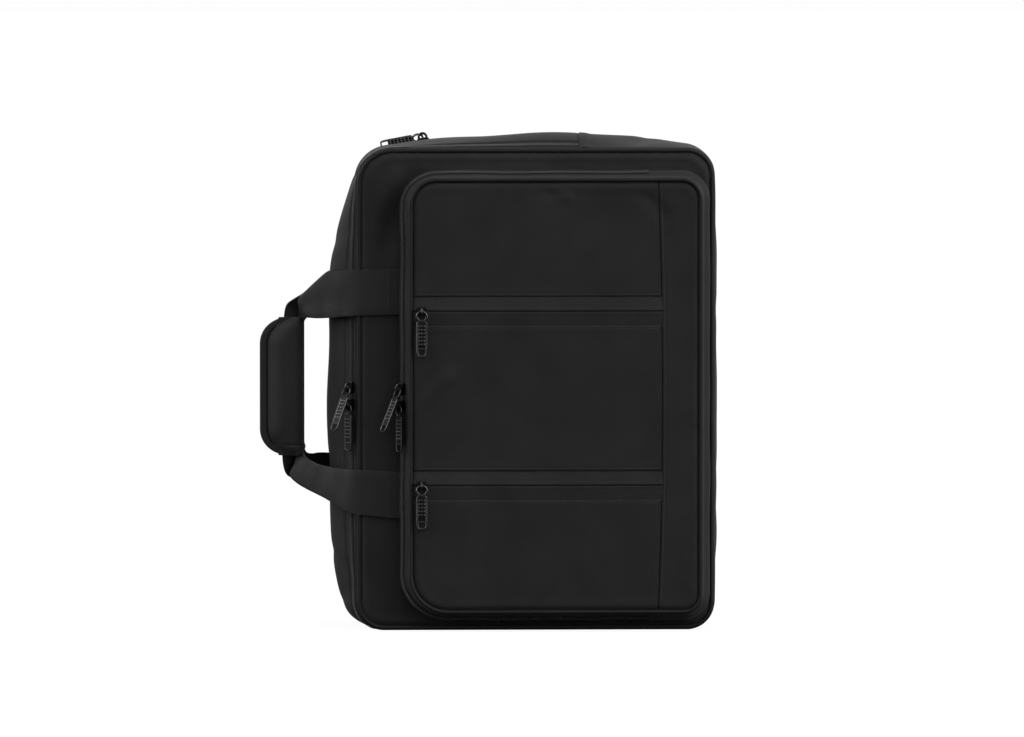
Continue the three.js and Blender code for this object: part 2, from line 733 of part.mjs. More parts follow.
// A slider seated at a point of a zip, and its pull turned about the hinge by the angle that it rests at.
// hang is the way that the pull hangs, out the way off the bag.
function addZipPull({ name, point, hang, out, angle, alongHinge }) {
  const hinge = new THREE.Vector3().crossVectors(out, hang).normalize();
  const seat = new THREE.Group();
  seat.setRotationFromMatrix(new THREE.Matrix4().makeBasis(hinge, hang.clone().negate(), out));
  seat.position.copy(point);
  addPiece(`${name}_slider`, sliderGeometry(alongHinge), colours.metal, 0.4, 0.8, seat);
  const swing = new THREE.Group();
  swing.position.set(0, 0, hingeHeight);
  swing.rotation.x = THREE.MathUtils.degToRad(-angle);
  addPiece(`${name}_pull`, pullGeometry(), colours.metal, 0.35, 0.8, swing);
  seat.add(swing);
  bag.add(seat);
}

// A point of a gusset with its outward normal, from the outline point nearest to a height or an x
function seatOnWall(stations, outAt, y, isNear) {
  let best = 0;
  for (let index = 0; index < stations.length - 1; index += 1) {
    if (isNear(stations[index], stations[index + 1])) best = index;
  }
  return { from: stations[best], to: stations[best + 1], outAt, y };
}

function wallFrame({ from, to, outAt, y }, share) {
  const at = (s, depth) => {
    const start = placed(from, outAt(from, depth), depth);
    return start.lerp(placed(to, outAt(to, depth), depth), s);
  };
  const point = at(share, y);
  const along = at(1, y).sub(at(0, y)).normalize();
  const inDepth = at(share, y + halfChain).sub(at(share, y - halfChain)).normalize();
  const out = new THREE.Vector3().crossVectors(along, inDepth).normalize();
  return { point, along, out };
}

function leftWallPull(name, stations, outAt, y, height, angle) {
  const seat = seatOnWall(stations, outAt, y, (a, b) => a.nx < -0.99 && a.z <= height && b.z >= height);
  const frame = wallFrame(seat, (height - seat.from.z) / (seat.to.z - seat.from.z));
  const out = frame.out.x < 0 ? frame.out : frame.out.negate();
  addZipPull({ name, point: frame.point, hang: frame.along.negate(), out, angle, alongHinge: false });
}

leftWallPull('main_upper', zipSide, bodyOut, mainChainY, upperSliderHeight, leanAngle);
leftWallPull('main_lower', zipSide, bodyOut, mainChainY, lowerSliderHeight, 0);
leftWallPull('pocket_upper', pocketZipSide, pocketOut, pocketChainY, upperSliderHeight, leanAngle);
leftWallPull('pocket_lower', pocketZipSide, pocketOut, pocketChainY, lowerSliderHeight, 0);

const topSeat = seatOnWall(
  zipSide, bodyOut, rearChainY, (a, b) => a.nz > 0.99 && a.x <= topSliderX && b.x >= topSliderX,
);
const topFrame = wallFrame(topSeat, (topSliderX - topSeat.from.x) / (topSeat.to.x - topSeat.from.x));
addZipPull({
  name: 'rear_top',
  point: topFrame.point,
  hang: topFrame.along.clone().negate(),
  out: topFrame.out.z > 0 ? topFrame.out : topFrame.out.negate(),
  angle: topPullDroop,
  alongHinge: false,
});

for (const [name, height] of [['face_upper', upperZipHeight], ['face_lower', lowerZipHeight]]) {
  addZipPull({
    name,
    point: new THREE.Vector3(facePullX, faceY - faceRise(facePullX, height), height),
    hang: new THREE.Vector3(0, 0, -1),
    out: new THREE.Vector3(0, -1, 0),
    angle: 0,
    alongHinge: true,
  });
}

export default bag;
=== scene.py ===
"""Convertible backpack of black nylon, standing on its short end, with the carry handle on its left.

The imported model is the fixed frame. Sizes are in millimetres, in its frame: +X is to the right, -Y is the
front, +Z is up and the origin is the middle of the flat bottom. Meshes are turned to metres as they are made.
"""

import json
import math

import bpy
import numpy as np
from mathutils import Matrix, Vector


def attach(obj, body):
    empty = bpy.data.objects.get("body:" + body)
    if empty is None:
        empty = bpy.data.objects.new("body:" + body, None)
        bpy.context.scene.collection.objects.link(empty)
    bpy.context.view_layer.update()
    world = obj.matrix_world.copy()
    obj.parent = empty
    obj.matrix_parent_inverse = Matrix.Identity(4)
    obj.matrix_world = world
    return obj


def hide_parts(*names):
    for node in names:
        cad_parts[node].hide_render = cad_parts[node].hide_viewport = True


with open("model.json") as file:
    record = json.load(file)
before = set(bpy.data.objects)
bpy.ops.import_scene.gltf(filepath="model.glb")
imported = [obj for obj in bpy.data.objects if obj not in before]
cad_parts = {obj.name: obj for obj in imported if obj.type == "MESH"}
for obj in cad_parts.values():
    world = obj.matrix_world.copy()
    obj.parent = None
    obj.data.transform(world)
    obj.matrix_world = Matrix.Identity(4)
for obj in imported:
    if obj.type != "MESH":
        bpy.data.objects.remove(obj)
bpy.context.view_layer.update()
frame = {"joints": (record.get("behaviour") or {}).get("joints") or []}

# Front panel of the main body
# A single piece of black nylon cloth with a foamed back, cut to a rounded rectangle. Its edge is caught in
# the piped seam, so the cloth turns in there and swells into a soft roll just inside it.

BODY_WIDTH, BODY_HEIGHT, BODY_HALF_DEPTH = 312.0, 420.0, 46.0
BODY_RADII = (32.0, 24.0, 24.0, 24.0)
ZIP_STRIP_END = 38.0
PANEL_FACE, PANEL_INSET = 48.4, 4.3
CLOTH_THICKNESS = 1.5
EDGE_TURN, EDGE_ROLL, EDGE_ROLL_AT, EDGE_ROLL_WIDTH = 1.6, 0.5, 5.0, 2.6
PANEL_CROWN, CROWN_REACH = 2.6, 36.0
PANEL_SLACK, PUCKER = 0.7, 0.22
# Each crease: how far it stands out, where it starts and ends as x and z, and its half width
PANEL_CREASES = ((-3.4, (-106, 396), (-142, 316), 13), (1.2, (-124, 398), (-150, 330), 9))


def rounded_outline(left, right, bottom, top, radii, start_x, step):
    """A rounded rectangle walked from start_x on the bottom leftwards, up the left side, along the top and
    down the right side: lines and quarter circles cut in equal steps. Gives rows of x, z and the outward
    normal's x and z, and the row where the walk meets start_x on the top."""
    top_left, top_right, bottom_right, bottom_left = radii
    runs = []

    def line(x0, z0, x1, z1, nx, nz):
        count = max(2, math.ceil(math.hypot(x1 - x0, z1 - z0) / step))
        share = np.arange(count) / count
        runs.append(np.stack([x0 + (x1 - x0) * share, z0 + (z1 - z0) * share,
                              np.full(count, nx), np.full(count, nz)], axis=1))

    def corner(x, z, radius, start):
        count = max(6, math.ceil(radius * math.pi / 2 / step))
        angle = start - np.arange(count) / count * math.pi / 2
        nx, nz = np.cos(angle), np.sin(angle)
        runs.append(np.stack([x + radius * nx, z + radius * nz, nx, nz], axis=1))

    line(start_x, bottom, left + bottom_left, bottom, 0, -1)
    corner(left + bottom_left, bottom + bottom_left, bottom_left, -math.pi / 2)
    line(left, bottom + bottom_left, left, top - top_left, -1, 0)
    corner(left + top_left, top - top_left, top_left, math.pi)
    line(left + top_left, top, start_x, top, 0, 1)
    turn = sum(len(run) for run in runs)
    line(start_x, top, right - top_right, top, 0, 1)
    corner(right - top_right, top - top_right, top_right, math.pi / 2)
    line(right, top - top_right, right, bottom + bottom_right, 1, 0)
    corner(right - bottom_right, bottom + bottom_right, bottom_right, 0)
    line(right - bottom_right, bottom, start_x, bottom, 0, -1)
    return np.concatenate(runs), turn


def walked(stations):
    """Distance along the stations, in mm, from 0 at the first."""
    steps = np.hypot(np.diff(stations[:, 0]), np.diff(stations[:, 1]))
    return np.concatenate([[0], np.cumsum(steps)])


def lengths_along(path):
    """Distance along a path in space, in mm, from 0 at its first point."""
    return np.concatenate([[0], np.cumsum(np.linalg.norm(np.diff(path, axis=0), axis=1))])


def smooth_step(value, low, high):
    """0 below low, 1 above high, and 3t squared less 2t cubed between them."""
    share = np.clip((value - low) / (high - low), 0, 1)
    return share * share * (3 - 2 * share)


def hump(value, low, high, power):
    """1 in the middle of the span and 0 at its ends, flatter on top for a higher power."""
    return np.maximum(0, 1 - np.abs(2 * (value - low) / (high - low) - 1) ** power)


def bulge(value, middle, width):
    """1 at the middle, falling away on both sides as exp(-((value - middle) / width) squared)."""
    return np.exp(-(((value - middle) / width) ** 2))


def creases(x, z, rows):
    """Ridges added up, each as high as its row says on its line, and a bulge of the distance from it."""
    total = 0
    for height, start, end, width in rows:
        along = np.array(end, float) - np.array(start, float)
        share = ((x - start[0]) * along[0] + (z - start[1]) * along[1]) / (along @ along)
        share = np.clip(share, 0, 1)
        away = np.hypot(x - start[0] - share * along[0], z - start[1] - share * along[1])
        total = total + height * bulge(away, 0, width)
    return total


def rumple(a, b, reach, seed):
    """Soft unevenness of hanging cloth from -1 to 1: the mean of seven waves whose directions, phases and
    lengths, near reach, are drawn from the seed."""
    draw = np.random.default_rng(seed)
    total = 0
    for _ in range(7):
        angle, phase = draw.uniform(0, math.pi), draw.uniform(0, 2 * math.pi)
        length = reach * draw.uniform(0.7, 1.6)
        total = total + np.sin((a * math.cos(angle) + b * math.sin(angle)) * 2 * math.pi / length + phase)
    return total / 3.5


def grid_quads(rows, columns, start=0, round_rows=False, round_columns=False):
    """Quads of a grid of points numbered row by row; a round direction meets its own start."""
    row = np.arange(rows if round_rows else rows - 1)[:, None]
    column = np.arange(columns if round_columns else columns - 1)[None, :]
    next_row, next_column = (row + 1) % rows, (column + 1) % columns
    quads = np.stack([row * columns + column, row * columns + next_column,
                      next_row * columns + next_column, next_row * columns + column], axis=-1)
    return quads.reshape(-1, 4) + start


def unit(vectors):
    """The same directions, with a length of 1."""
    return vectors / np.maximum(np.linalg.norm(vectors, axis=-1, keepdims=True), 1e-9)


def grid_normals(grid):
    """Unit normals of a grid: the cross product of its two slopes, taken as central differences."""
    return unit(np.cross(np.gradient(grid, axis=0), np.gradient(grid, axis=1)))


def skin(grid, inner, uv, round_rows=False, round_columns=False, pole=False, **marks):
    """A wall between two equal grids: both skins, and rims along the directions that don't close. With pole
    the last row of each skin closes in a fan instead. uv is in mm; marks are values per grid point."""
    rows, columns = grid.shape[:2]
    count = rows * columns
    faces = [grid_quads(rows, columns, 0, round_rows, round_columns),
             grid_quads(rows, columns, count, round_rows, round_columns)[:, ::-1]]
    number = np.arange(count).reshape(rows, columns)
    rims = []
    if not round_rows:
        rims += [(number[0], False)] + ([] if pole else [(number[-1], True)])
    if not round_columns:
        rims += [(number[:, 0], True), (number[:, -1], False)]
    for index, (edge, turned) in enumerate(rims):
        on_row = not round_rows and index < (1 if pole else 2)
        closed = round_columns if on_row else round_rows
        a = edge if closed else edge[:-1]
        b = np.roll(edge, -1) if closed else edge[1:]
        quads = np.stack([b, a, a + count, b + count], axis=1)
        faces.append(quads[:, ::-1] if turned else quads)
    flat = uv.reshape(-1, 2)
    points = np.concatenate([grid.reshape(-1, 3), inner.reshape(-1, 3)])
    uv = np.concatenate([flat, flat])
    values = {key: np.tile(np.broadcast_to(value, (rows, columns)).reshape(-1), 2)
              for key, value in marks.items()}
    if pole:
        last = number[-1]
        ring = np.stack([last, np.roll(last, -1)], axis=1)
        faces.append(np.concatenate([ring, np.full((columns, 1), 2 * count)], axis=1))
        faces.append(np.concatenate([ring[:, ::-1] + count, np.full((columns, 1), 2 * count + 1)], axis=1))
        points = np.concatenate([points, grid[-1].mean(0)[None], inner[-1].mean(0)[None]])
        uv = np.concatenate([uv, np.tile(flat[last].mean(0), (2, 1))])
        values = {key: np.concatenate([v, v[last[:1]], v[last[:1]]]) for key, v in values.items()}
    return {"points": points, "faces": faces, "uv": uv, "marks": values}


def loft(rings, uv=None, closed=False, **marks):
    """A solid through closed rings of points, capped with a fan to the middle of each end ring unless the
    rings close on themselves."""
    rows, columns = rings.shape[:2]
    points = rings.reshape(-1, 3)
    faces = [grid_quads(rows, columns, 0, closed, True)]
    if uv is None:
        along = lengths_along(rings.mean(axis=1))
        girth = np.linalg.norm(rings[rows // 2] - np.roll(rings[rows // 2], 1, 0), axis=1)
        uv = np.stack(np.broadcast_arrays(along[:, None], np.cumsum(girth)[None, :]), axis=-1)
    uv = uv.reshape(-1, 2)
    values = {key: np.broadcast_to(value, (rows, columns)).reshape(-1) for key, value in marks.items()}
    if not closed:
        around = np.arange(columns)
        count = rows * columns
        points = np.concatenate([points, rings[0].mean(0)[None], rings[-1].mean(0)[None]])
        uv = np.concatenate([uv, uv[:1], uv[count - 1:count]])
        values = {key: np.concatenate([v, v[:1], v[count - 1:count]]) for key, v in values.items()}
        last = count - columns
        for start, end, tip in ((np.roll(around, -1), around, count),
                                (last + around, last + np.roll(around, -1), count + 1)):
            faces.append(np.stack([start, end, np.full(columns, tip)], axis=1))
    return {"points": points, "faces": faces, "uv": uv, "marks": values}


def volume_of(points, faces):
    """Six times the signed volume: the sum of triple products of each face's fan of triangles."""
    total = 0.0
    for block in faces:
        for second in range(1, block.shape[1] - 1):
            a, b, c = points[block[:, 0]], points[block[:, second]], points[block[:, second + 1]]
            total += float(np.einsum("ij,ij->", a, np.cross(b, c)))
    return total


def make_piece(name, parts, sharp=50):
    """One object from parts in mm, each turned so that its faces point outwards."""
    offset, points, faces, uvs = 0, [], [], []
    keys = sorted({key for part in parts for key in part["marks"]})
    marks = {key: [] for key in keys}
    for part in parts:
        turned = volume_of(part["points"], part["faces"]) < 0
        for block in part["faces"]:
            faces.append((block[:, ::-1] if turned else block) + offset)
        points.append(part["points"])
        uvs.append(part["uv"])
        for key in keys:
            marks[key].append(part["marks"].get(key, np.zeros(len(part["points"]))))
        offset += len(part["points"])
    points = np.concatenate(points) / 1000
    corners = np.concatenate([block.reshape(-1) for block in faces])
    sizes = np.concatenate([np.full(len(block), block.shape[1]) for block in faces])
    mesh = bpy.data.meshes.new(name)
    mesh.vertices.add(len(points))
    mesh.vertices.foreach_set("co", points.astype(np.float32).reshape(-1))
    mesh.loops.add(len(corners))
    mesh.loops.foreach_set("vertex_index", corners.astype(np.int32))
    mesh.polygons.add(len(sizes))
    mesh.polygons.foreach_set("loop_start", (np.cumsum(sizes) - sizes).astype(np.int32))
    mesh.polygons.foreach_set("use_smooth", np.ones(len(sizes), bool))
    mesh.update(calc_edges=True)
    layer = mesh.uv_layers.new(name="cloth")
    layer.uv.foreach_set("vector", (np.concatenate(uvs)[corners] / 1000).astype(np.float32).reshape(-1))
    for key in keys:
        value = mesh.attributes.new(key, "FLOAT", "POINT")
        value.data.foreach_set("value", np.concatenate(marks[key]).astype(np.float32))
    mesh.validate()
    mesh.set_sharp_from_angle(angle=math.radians(sharp))
    piece = bpy.data.objects.new(name, mesh)
    bpy.context.scene.collection.objects.link(piece)
    return piece


def fit(piece, material, slot, *nodes, body="bag"):
    """Gives a piece its material and its body, and hides the nodes that it stands for. The slot is not used."""
    piece.data.materials.append(material)
    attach(piece, body)
    if nodes:
        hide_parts(*nodes)
    return piece


def hex_colour(code):
    """A colour given as sRGB hex, in the linear values that shaders use."""
    def straighten(value):
        return value / 12.92 if value <= 0.04045 else ((value + 0.055) / 1.055) ** 2.4
    return tuple(straighten(int(code[i:i + 2], 16) / 255) for i in (1, 3, 5)) + (1.0,)


def feed(node, inputs):
    """Gives a node's inputs, by name or number, a value or another node's output."""
    for key, value in inputs.items():
        if isinstance(value, bpy.types.NodeSocket):
            node.id_data.links.new(value, node.inputs[key])
        else:
            node.inputs[key].default_value = value


def add_node(tree, kind, inputs=None, **settings):
    """One shader node. A setting is a property of the node, and inputs are fed as above."""
    node = tree.nodes.new(kind)
    for key, value in settings.items():
        setattr(node, key, value)
    feed(node, inputs or {})
    return node


def new_material(name):
    """A fresh material, its node tree and its main shader."""
    material = bpy.data.materials.new(name)
    material.use_nodes = True
    return material, material.node_tree, material.node_tree.nodes["Principled BSDF"]


def wave_scale(pitch):
    """Scale of a wave texture whose bands repeat every pitch in mm: its phase is 20 times the place."""
    return 2 * math.pi / (20 * pitch / 1000)


def woven_material(name, dark, light, warp_pitch, weft_pitch, relief, roughness, specular, sheen):
    """Cloth of two crossed sets of threads. The relief is the product of two waves on the piece's own UV,
    a fine noise breaks the threads up and a broad one varies the tone, as dye and handling do."""
    material, tree, shader = new_material(name)
    place = add_node(tree, "ShaderNodeUVMap", uv_map="cloth").outputs["UV"]
    warp, weft = (add_node(tree, "ShaderNodeTexWave", {"Vector": place, "Scale": wave_scale(pitch)},
                           bands_direction=direction).outputs["Fac"]
                  for pitch, direction in ((warp_pitch, "X"), (weft_pitch, "Y")))
    woven = add_node(tree, "ShaderNodeMath", {0: warp, 1: weft}, operation="MULTIPLY").outputs[0]
    fibre = add_node(tree, "ShaderNodeTexNoise", {"Vector": place, "Scale": 1800.0,
                                                  "Detail": 2.0}).outputs["Fac"]
    height = add_node(tree, "ShaderNodeMath", {0: fibre, 1: 0.5, 2: woven},
                      operation="MULTIPLY_ADD").outputs[0]
    bump = add_node(tree, "ShaderNodeBump", {"Height": height, "Distance": relief / 1000, "Strength": 0.6})
    spot = add_node(tree, "ShaderNodeTexCoord").outputs["Object"]
    broad = add_node(tree, "ShaderNodeTexNoise", {"Vector": spot, "Scale": 26.0, "Detail": 4.0}).outputs["Fac"]
    tone = add_node(tree, "ShaderNodeMath", {0: woven, 1: 0.45, 2: broad}, operation="MULTIPLY_ADD").outputs[0]
    share = add_node(tree, "ShaderNodeMapRange", {"Value": tone, "From Min": 0.3, "From Max": 0.95})
    mixed = add_node(tree, "ShaderNodeMix", {0: share.outputs[0], 6: hex_colour(dark),
                                             7: hex_colour(light)}, data_type="RGBA")
    rough = add_node(tree, "ShaderNodeMapRange", {"Value": fibre, "To Min": roughness - 0.07,
                                                  "To Max": roughness + 0.07})
    feed(shader, {"Base Color": mixed.outputs[2], "Roughness": rough.outputs[0],
                  "Normal": bump.outputs["Normal"], "Specular IOR Level": specular,
                  "Sheen Weight": sheen, "Sheen Roughness": 0.5})
    return material


# Ballistic nylon: thick filament yarns in a plain weave, dyed black, with a dull coated back. It reads as
# nearly black face on, and greyer at a grazing angle. Its 0.5 mm yarns are drawn 0.9 mm apart to show.
nylon = woven_material("ballistic_nylon", "#161616", "#1e1e1e", 0.9, 0.9, 0.10, 0.66, 0.1, 0.03)

body_outline, body_turn = rounded_outline(
    -BODY_WIDTH / 2, BODY_WIDTH / 2, 0, BODY_HEIGHT, BODY_RADII, ZIP_STRIP_END, 2.5)


def panel_rings(insets):
    """Nested copies of the panel's edge, shrunk towards its middle: rows of x, z for each inset in mm."""
    edge = body_outline[:, :2] - PANEL_INSET * body_outline[:, 2:]
    share = np.array(insets)[:, None, None]
    middle = np.array([0, BODY_HEIGHT / 2])
    scale = np.array([2 / BODY_WIDTH, 2 / BODY_HEIGHT])
    return edge[None] + (middle - edge[None]) * share * scale


def panel_cloth(name, insets, side, rise_of):
    """A panel as a walled skin that closes in the middle: rise_of gives how far its outside stands proud of
    the panel's face at a distance in from the edge and a place."""
    ring = panel_rings(insets)
    inset = np.broadcast_to(insets[:, None], ring.shape[:2])
    x, z = ring[..., 0], ring[..., 1]
    outer = np.stack([x, side * (PANEL_FACE + rise_of(inset, x, z)), z], axis=-1)
    inner = np.stack([x, np.full_like(x, side * (BODY_HALF_DEPTH + 0.1)), z], axis=-1)
    return make_piece(name, [skin(outer, inner, ring, round_columns=True, pole=True)])


def front_rise(inset, x, z):
    """The cloth turns in at its edge, rolls just inside it and crowns as a parabola; its slack and creases
    lie clear of the seam, where small puckers follow the stitches."""
    rise = EDGE_TURN * smooth_step(inset, -0.6, 3.4) - EDGE_TURN
    rise = rise + PANEL_CROWN * (1 - (1 - np.clip(inset / CROWN_REACH, 0, 1)) ** 2)
    rise = rise + EDGE_ROLL * bulge(inset, EDGE_ROLL_AT, EDGE_ROLL_WIDTH)
    slack = PANEL_SLACK * rumple(x, z, 70, 3) + creases(x, z, PANEL_CREASES)
    puckers = np.exp(-inset / 5) * np.sin(walked(body_outline) * 0.55 + 2 * rumple(x, z, 40, 4))
    return rise + slack * smooth_step(inset, 6, 26) + PUCKER * puckers


front_insets = np.concatenate([np.arange(0, 12, 0.8), np.arange(12, 60, 2.5), np.arange(60, 156, 12)])
front_panel = panel_cloth("front_panel_cloth", front_insets, -1, front_rise)
fit(front_panel, nylon, "nylon_cloth", "front_panel")

# Padded back panel
# A foam pad under a knitted spacer mesh, quilted to the panel by one seam round its border. It is the side
# that lies against the wearer, so it is breathable, springy and matt.

PAD_BORDER, PAD_HEIGHT, PAD_EASE = 34.0, 7.0, 24.0
BORDER_PUFF, SEAM_DEPTH, SEAM_WIDTH = 1.6, 1.5, 1.6
CHANNEL_HEIGHTS, CHANNEL_DEPTH, CHANNEL_WIDTH = (140, 280), 3.2, 4.5


def pad_rise(inset, x, z):
    """The pad stands up past its border seam, which pulls the cloth down, and is crossed by two channels."""
    rise = 1.4 * smooth_step(inset, -0.6, 3.6) - 1.4
    rise = rise + PAD_HEIGHT * smooth_step(inset, PAD_BORDER, PAD_BORDER + PAD_EASE)
    rise = rise + BORDER_PUFF * smooth_step(inset, 4, 18) * (1 - smooth_step(inset, PAD_BORDER - 9, PAD_BORDER))
    rise = rise - SEAM_DEPTH * bulge(inset, PAD_BORDER, SEAM_WIDTH)
    for height in CHANNEL_HEIGHTS:
        rise = rise - (CHANNEL_DEPTH * smooth_step(inset, PAD_BORDER + 6, PAD_BORDER + 26)
                       * bulge(z, height, CHANNEL_WIDTH))
    return rise + 0.3 * rumple(x, z, 60, 8) * smooth_step(inset, 6, 20)


back_insets = np.concatenate([np.arange(0, 70, 1.8), np.arange(70, 156, 9)])
back_panel = panel_cloth("back_pad", back_insets, 1, pad_rise)

# Spacer mesh: a knitted polyester fabric of small open cells over foam, dull black. Its cells are 3 mm wide.
mesh_cloth, tree, shader = new_material("spacer_mesh")
place = add_node(tree, "ShaderNodeUVMap", uv_map="cloth").outputs["UV"]
cells = add_node(tree, "ShaderNodeTexVoronoi", {"Vector": place, "Scale": 1000 / 3.0, "Randomness": 0.25})
open_cell = add_node(tree, "ShaderNodeMapRange", {"Value": cells.outputs["Distance"], "From Min": 0.15,
                                                  "From Max": 0.5}).outputs[0]
# Painted shade: the hollows of the open cells are coloured darker than the knit round them.
tone = add_node(tree, "ShaderNodeMix", {0: open_cell, 6: hex_colour("#0b0b0b"), 7: hex_colour("#222223")},
                data_type="RGBA")
bump = add_node(tree, "ShaderNodeBump", {"Height": open_cell, "Distance": 0.0008})
feed(shader, {"Base Color": tone.outputs[2], "Normal": bump.outputs["Normal"], "Roughness": 0.8,
              "Specular IOR Level": 0.2})
fit(back_panel, mesh_cloth, "back_mesh", "back_panel")

# Piping of the main body
# A 3 mm cord wrapped in a bias strip of thin nylon, sewn into the seam between each panel and the gusset.
# It stands proud all round as a fine dark line, and stiffens the edges of the bag.
PIPING_RADIUS = 2.2
PIPING_SETBACK = 2.6


def piping(stations, setback, y, radius, seed):
    """A round cord along closed stations: its section is a circle in the plane of the station's normal and
    the Y axis, and its radius varies by a few percent where the wrapping gathers at corners."""
    angle = np.arange(14) / 14 * 2 * math.pi
    along = walked(stations)[:, None]
    bend = 1 - np.max(np.abs(stations[:, 2:]), axis=1, keepdims=True)
    gather = 0.045 * smooth_step(bend, 0.01, 0.2) * np.sin(along * 2.1 + 3 * rumple(along, along, 30, seed))
    thick = radius * (1 + gather + 0.03 * rumple(along, angle * 4, 45, seed + 1))
    out = thick * np.cos(angle) - setback
    points = np.stack([stations[:, None, 0] + stations[:, None, 2] * out,
                       np.broadcast_to(y + thick * np.sin(angle), out.shape),
                       stations[:, None, 1] + stations[:, None, 3] * out], axis=-1)
    uv = np.stack(np.broadcast_arrays(along, angle * radius), axis=-1)
    return loft(points, uv, closed=True)


# Bias tape over cord: fine plain nylon stretched tight round the cord. Its colour is set darker than the
# panels' nylon, as painted shade of the piped seams.
piping_cloth = woven_material("piping_tape", "#0d0d0d", "#141414", 0.8, 0.8, 0.06, 0.5, 0.15, 0.0)
for name, y, seed in (("front_piping", -BODY_HALF_DEPTH, 11), ("back_piping", BODY_HALF_DEPTH, 15)):
    cord = make_piece(name + "_cord", [piping(body_outline, PIPING_SETBACK, y, PIPING_RADIUS, seed)])
    fit(cord, piping_cloth, "piping", name)

# Gusset of the zip side
# Strips of the same nylon, their edges folded under and topstitched to the tapes of two coil zips. The wall
# swells outwards between its two seams, most on the side that carries the handle.

GUSSET_HALF = 43.5
LEFT_SWELL, TOP_SWELL, RIGHT_SWELL = 24.0, 11.5, 4.0
MAIN_ZIP_Y, REAR_ZIP_Y = -38.9, 18.5
MAIN_TAPE_EDGE, REAR_TAPE_EDGE = 5.2, 4.2
TAPE_THICKNESS, TAPE_SINK = 0.6, 0.9
COIL_PITCH, COIL_HALF_WIDTH, COIL_SLANT, COIL_LIFT = 1.75, 2.1, 0.10, 0.35
TOOTH_HEIGHT = 1.3
PRESSED_BELOW, PRESSED_TO = 1.5, 0.2
STITCH_LIFT = 0.12
# Each dimple of the standing wall: how far along it is, its depth, its half width and how it leans with depth
ZIP_SIDE_DIMPLES = ((250, 1.2, 7, 0.5), (205, 0.9, 6, -0.4), (330, 0.8, 9, 0.3), (520, 1.0, 8, -0.3),
                    (585, 1.1, 9, 0.35))
BASE_DIMPLES = ((60, 0.8, 7, 0.2), (250, 0.7, 10, -0.2))
ON_FLOOR = 165.0


def body_out(stations, y):
    """How far the filled wall stands out of the panel's edge line: a half sine from seam to seam, times the
    swell of each side, which fades towards the corners."""
    x, z, nx, nz = (stations[:, None, i] for i in range(4))
    across = np.maximum(0, np.sin(math.pi * (y + GUSSET_HALF) / (2 * GUSSET_HALF)))
    left = np.maximum(0, -nx) * LEFT_SWELL * hump(z, -0.012 * BODY_HEIGHT, 0.94 * BODY_HEIGHT, 4)
    right = np.maximum(0, nx) * RIGHT_SWELL * hump(z, 0, BODY_HEIGHT, 4)
    top = np.maximum(0, nz) * TOP_SWELL * hump(x, -0.4 * BODY_WIDTH, 0.48 * BODY_WIDTH, 2)
    return across * (left + right + top)


def half_walk(outline, turn, first):
    """The stations of one half of an outline, ending short of the join by half of the 0.3 mm gap."""
    half = outline[:turn + 1].copy() if first else np.concatenate([outline[turn:], outline[:1]])
    half[[0, -1], 0] += -0.15 if first else 0.15
    return half


def wall_points(stations, out, y):
    """Places on a wall that follows the stations: out along each station's normal, at depth y."""
    out, y = np.broadcast_arrays(out, y)
    return np.stack([stations[:, None, 0] + stations[:, None, 2] * out, y,
                     stations[:, None, 1] + stations[:, None, 3] * out], axis=-1)


def fine_steps(low, high, step):
    """Depths from low to high, in even steps but closer at both ends, where a cloth edge is turned."""
    ends = np.array([0, 0.35, 0.8, 1.5])
    count = max(2, math.ceil((high - low - 3.6) / step))
    return np.concatenate([low + ends, np.linspace(low + 2.4, high - 2.4, count), high - ends[::-1]])


def wall_strip(stations, out_of, low, high, thickness, step=2.5, sink=0.0, roll=(0.0, 0.0), soft=None):
    """A strip of cloth on a wall between two depths. roll is how far each edge turns down, as a falling
    exponential, and soft adds unevenness from the distance along and the depth."""
    y = fine_steps(low, high, step)[None, :]
    along = walked(stations)[:, None]
    out = out_of(stations, y) - sink
    out = out - roll[0] * np.exp(-(y - low) / 0.55) - roll[1] * np.exp(-(high - y) / 0.55)
    if soft is not None:
        out = out + soft(along, y)
    outer = wall_points(stations, out, y)
    inner = wall_points(stations, out - thickness, y)
    uv = np.stack(np.broadcast_arrays(along, y), axis=-1)
    return skin(outer, inner, uv)


def resampled(path, pitch):
    """Points along a path at equal steps of pitch, by linear interpolation, their unit tangents, and how far
    along the path each is."""
    along = lengths_along(path)
    count = max(2, int(along[-1] / pitch))
    at = (np.arange(count) + 0.5) * along[-1] / count
    points = np.stack([np.interp(at, along, path[:, i]) for i in range(3)], axis=1)
    return points, unit(np.gradient(points, axis=0)), at


def repeated(shape, faces, origins, axes, **marks):
    """Copies of a small shape: each point is the origin plus its three coordinates along the three axes."""
    points = origins[:, None, :] + np.einsum("pk,nkc->npc", shape, axes)
    each, count = len(shape), len(origins)
    step = (np.arange(count) * each)[:, None, None]
    blocks = [(block[None] + step).reshape(-1, block.shape[1]) for block in faces]
    values = {key: np.repeat(np.broadcast_to(value, count), each) for key, value in marks.items()}
    flat = points.reshape(-1, 3)
    return {"points": flat, "faces": blocks, "uv": flat[:, [0, 2]], "marks": values}


def capsule(length, width, height):
    """A small rounded bar along its first axis: six-sided rings of an ellipse whose size is 0.62, 1, 1 and
    0.62, with its ends drawn to a point each."""
    at = np.array([-0.42, -0.25, 0.25, 0.42])[:, None] * length
    size = np.array([0.62, 1, 1, 0.62])[:, None]
    angle = (np.arange(6) + 0.5) / 6 * 2 * math.pi
    rings = np.stack(np.broadcast_arrays(at, size * np.cos(angle) * width / 2,
                                         size * np.sin(angle) * height / 2), axis=-1)
    part = loft(rings)
    part["points"][-2], part["points"][-1] = (-length / 2, 0, 0), (length / 2, 0, 0)
    return part["points"], part["faces"]


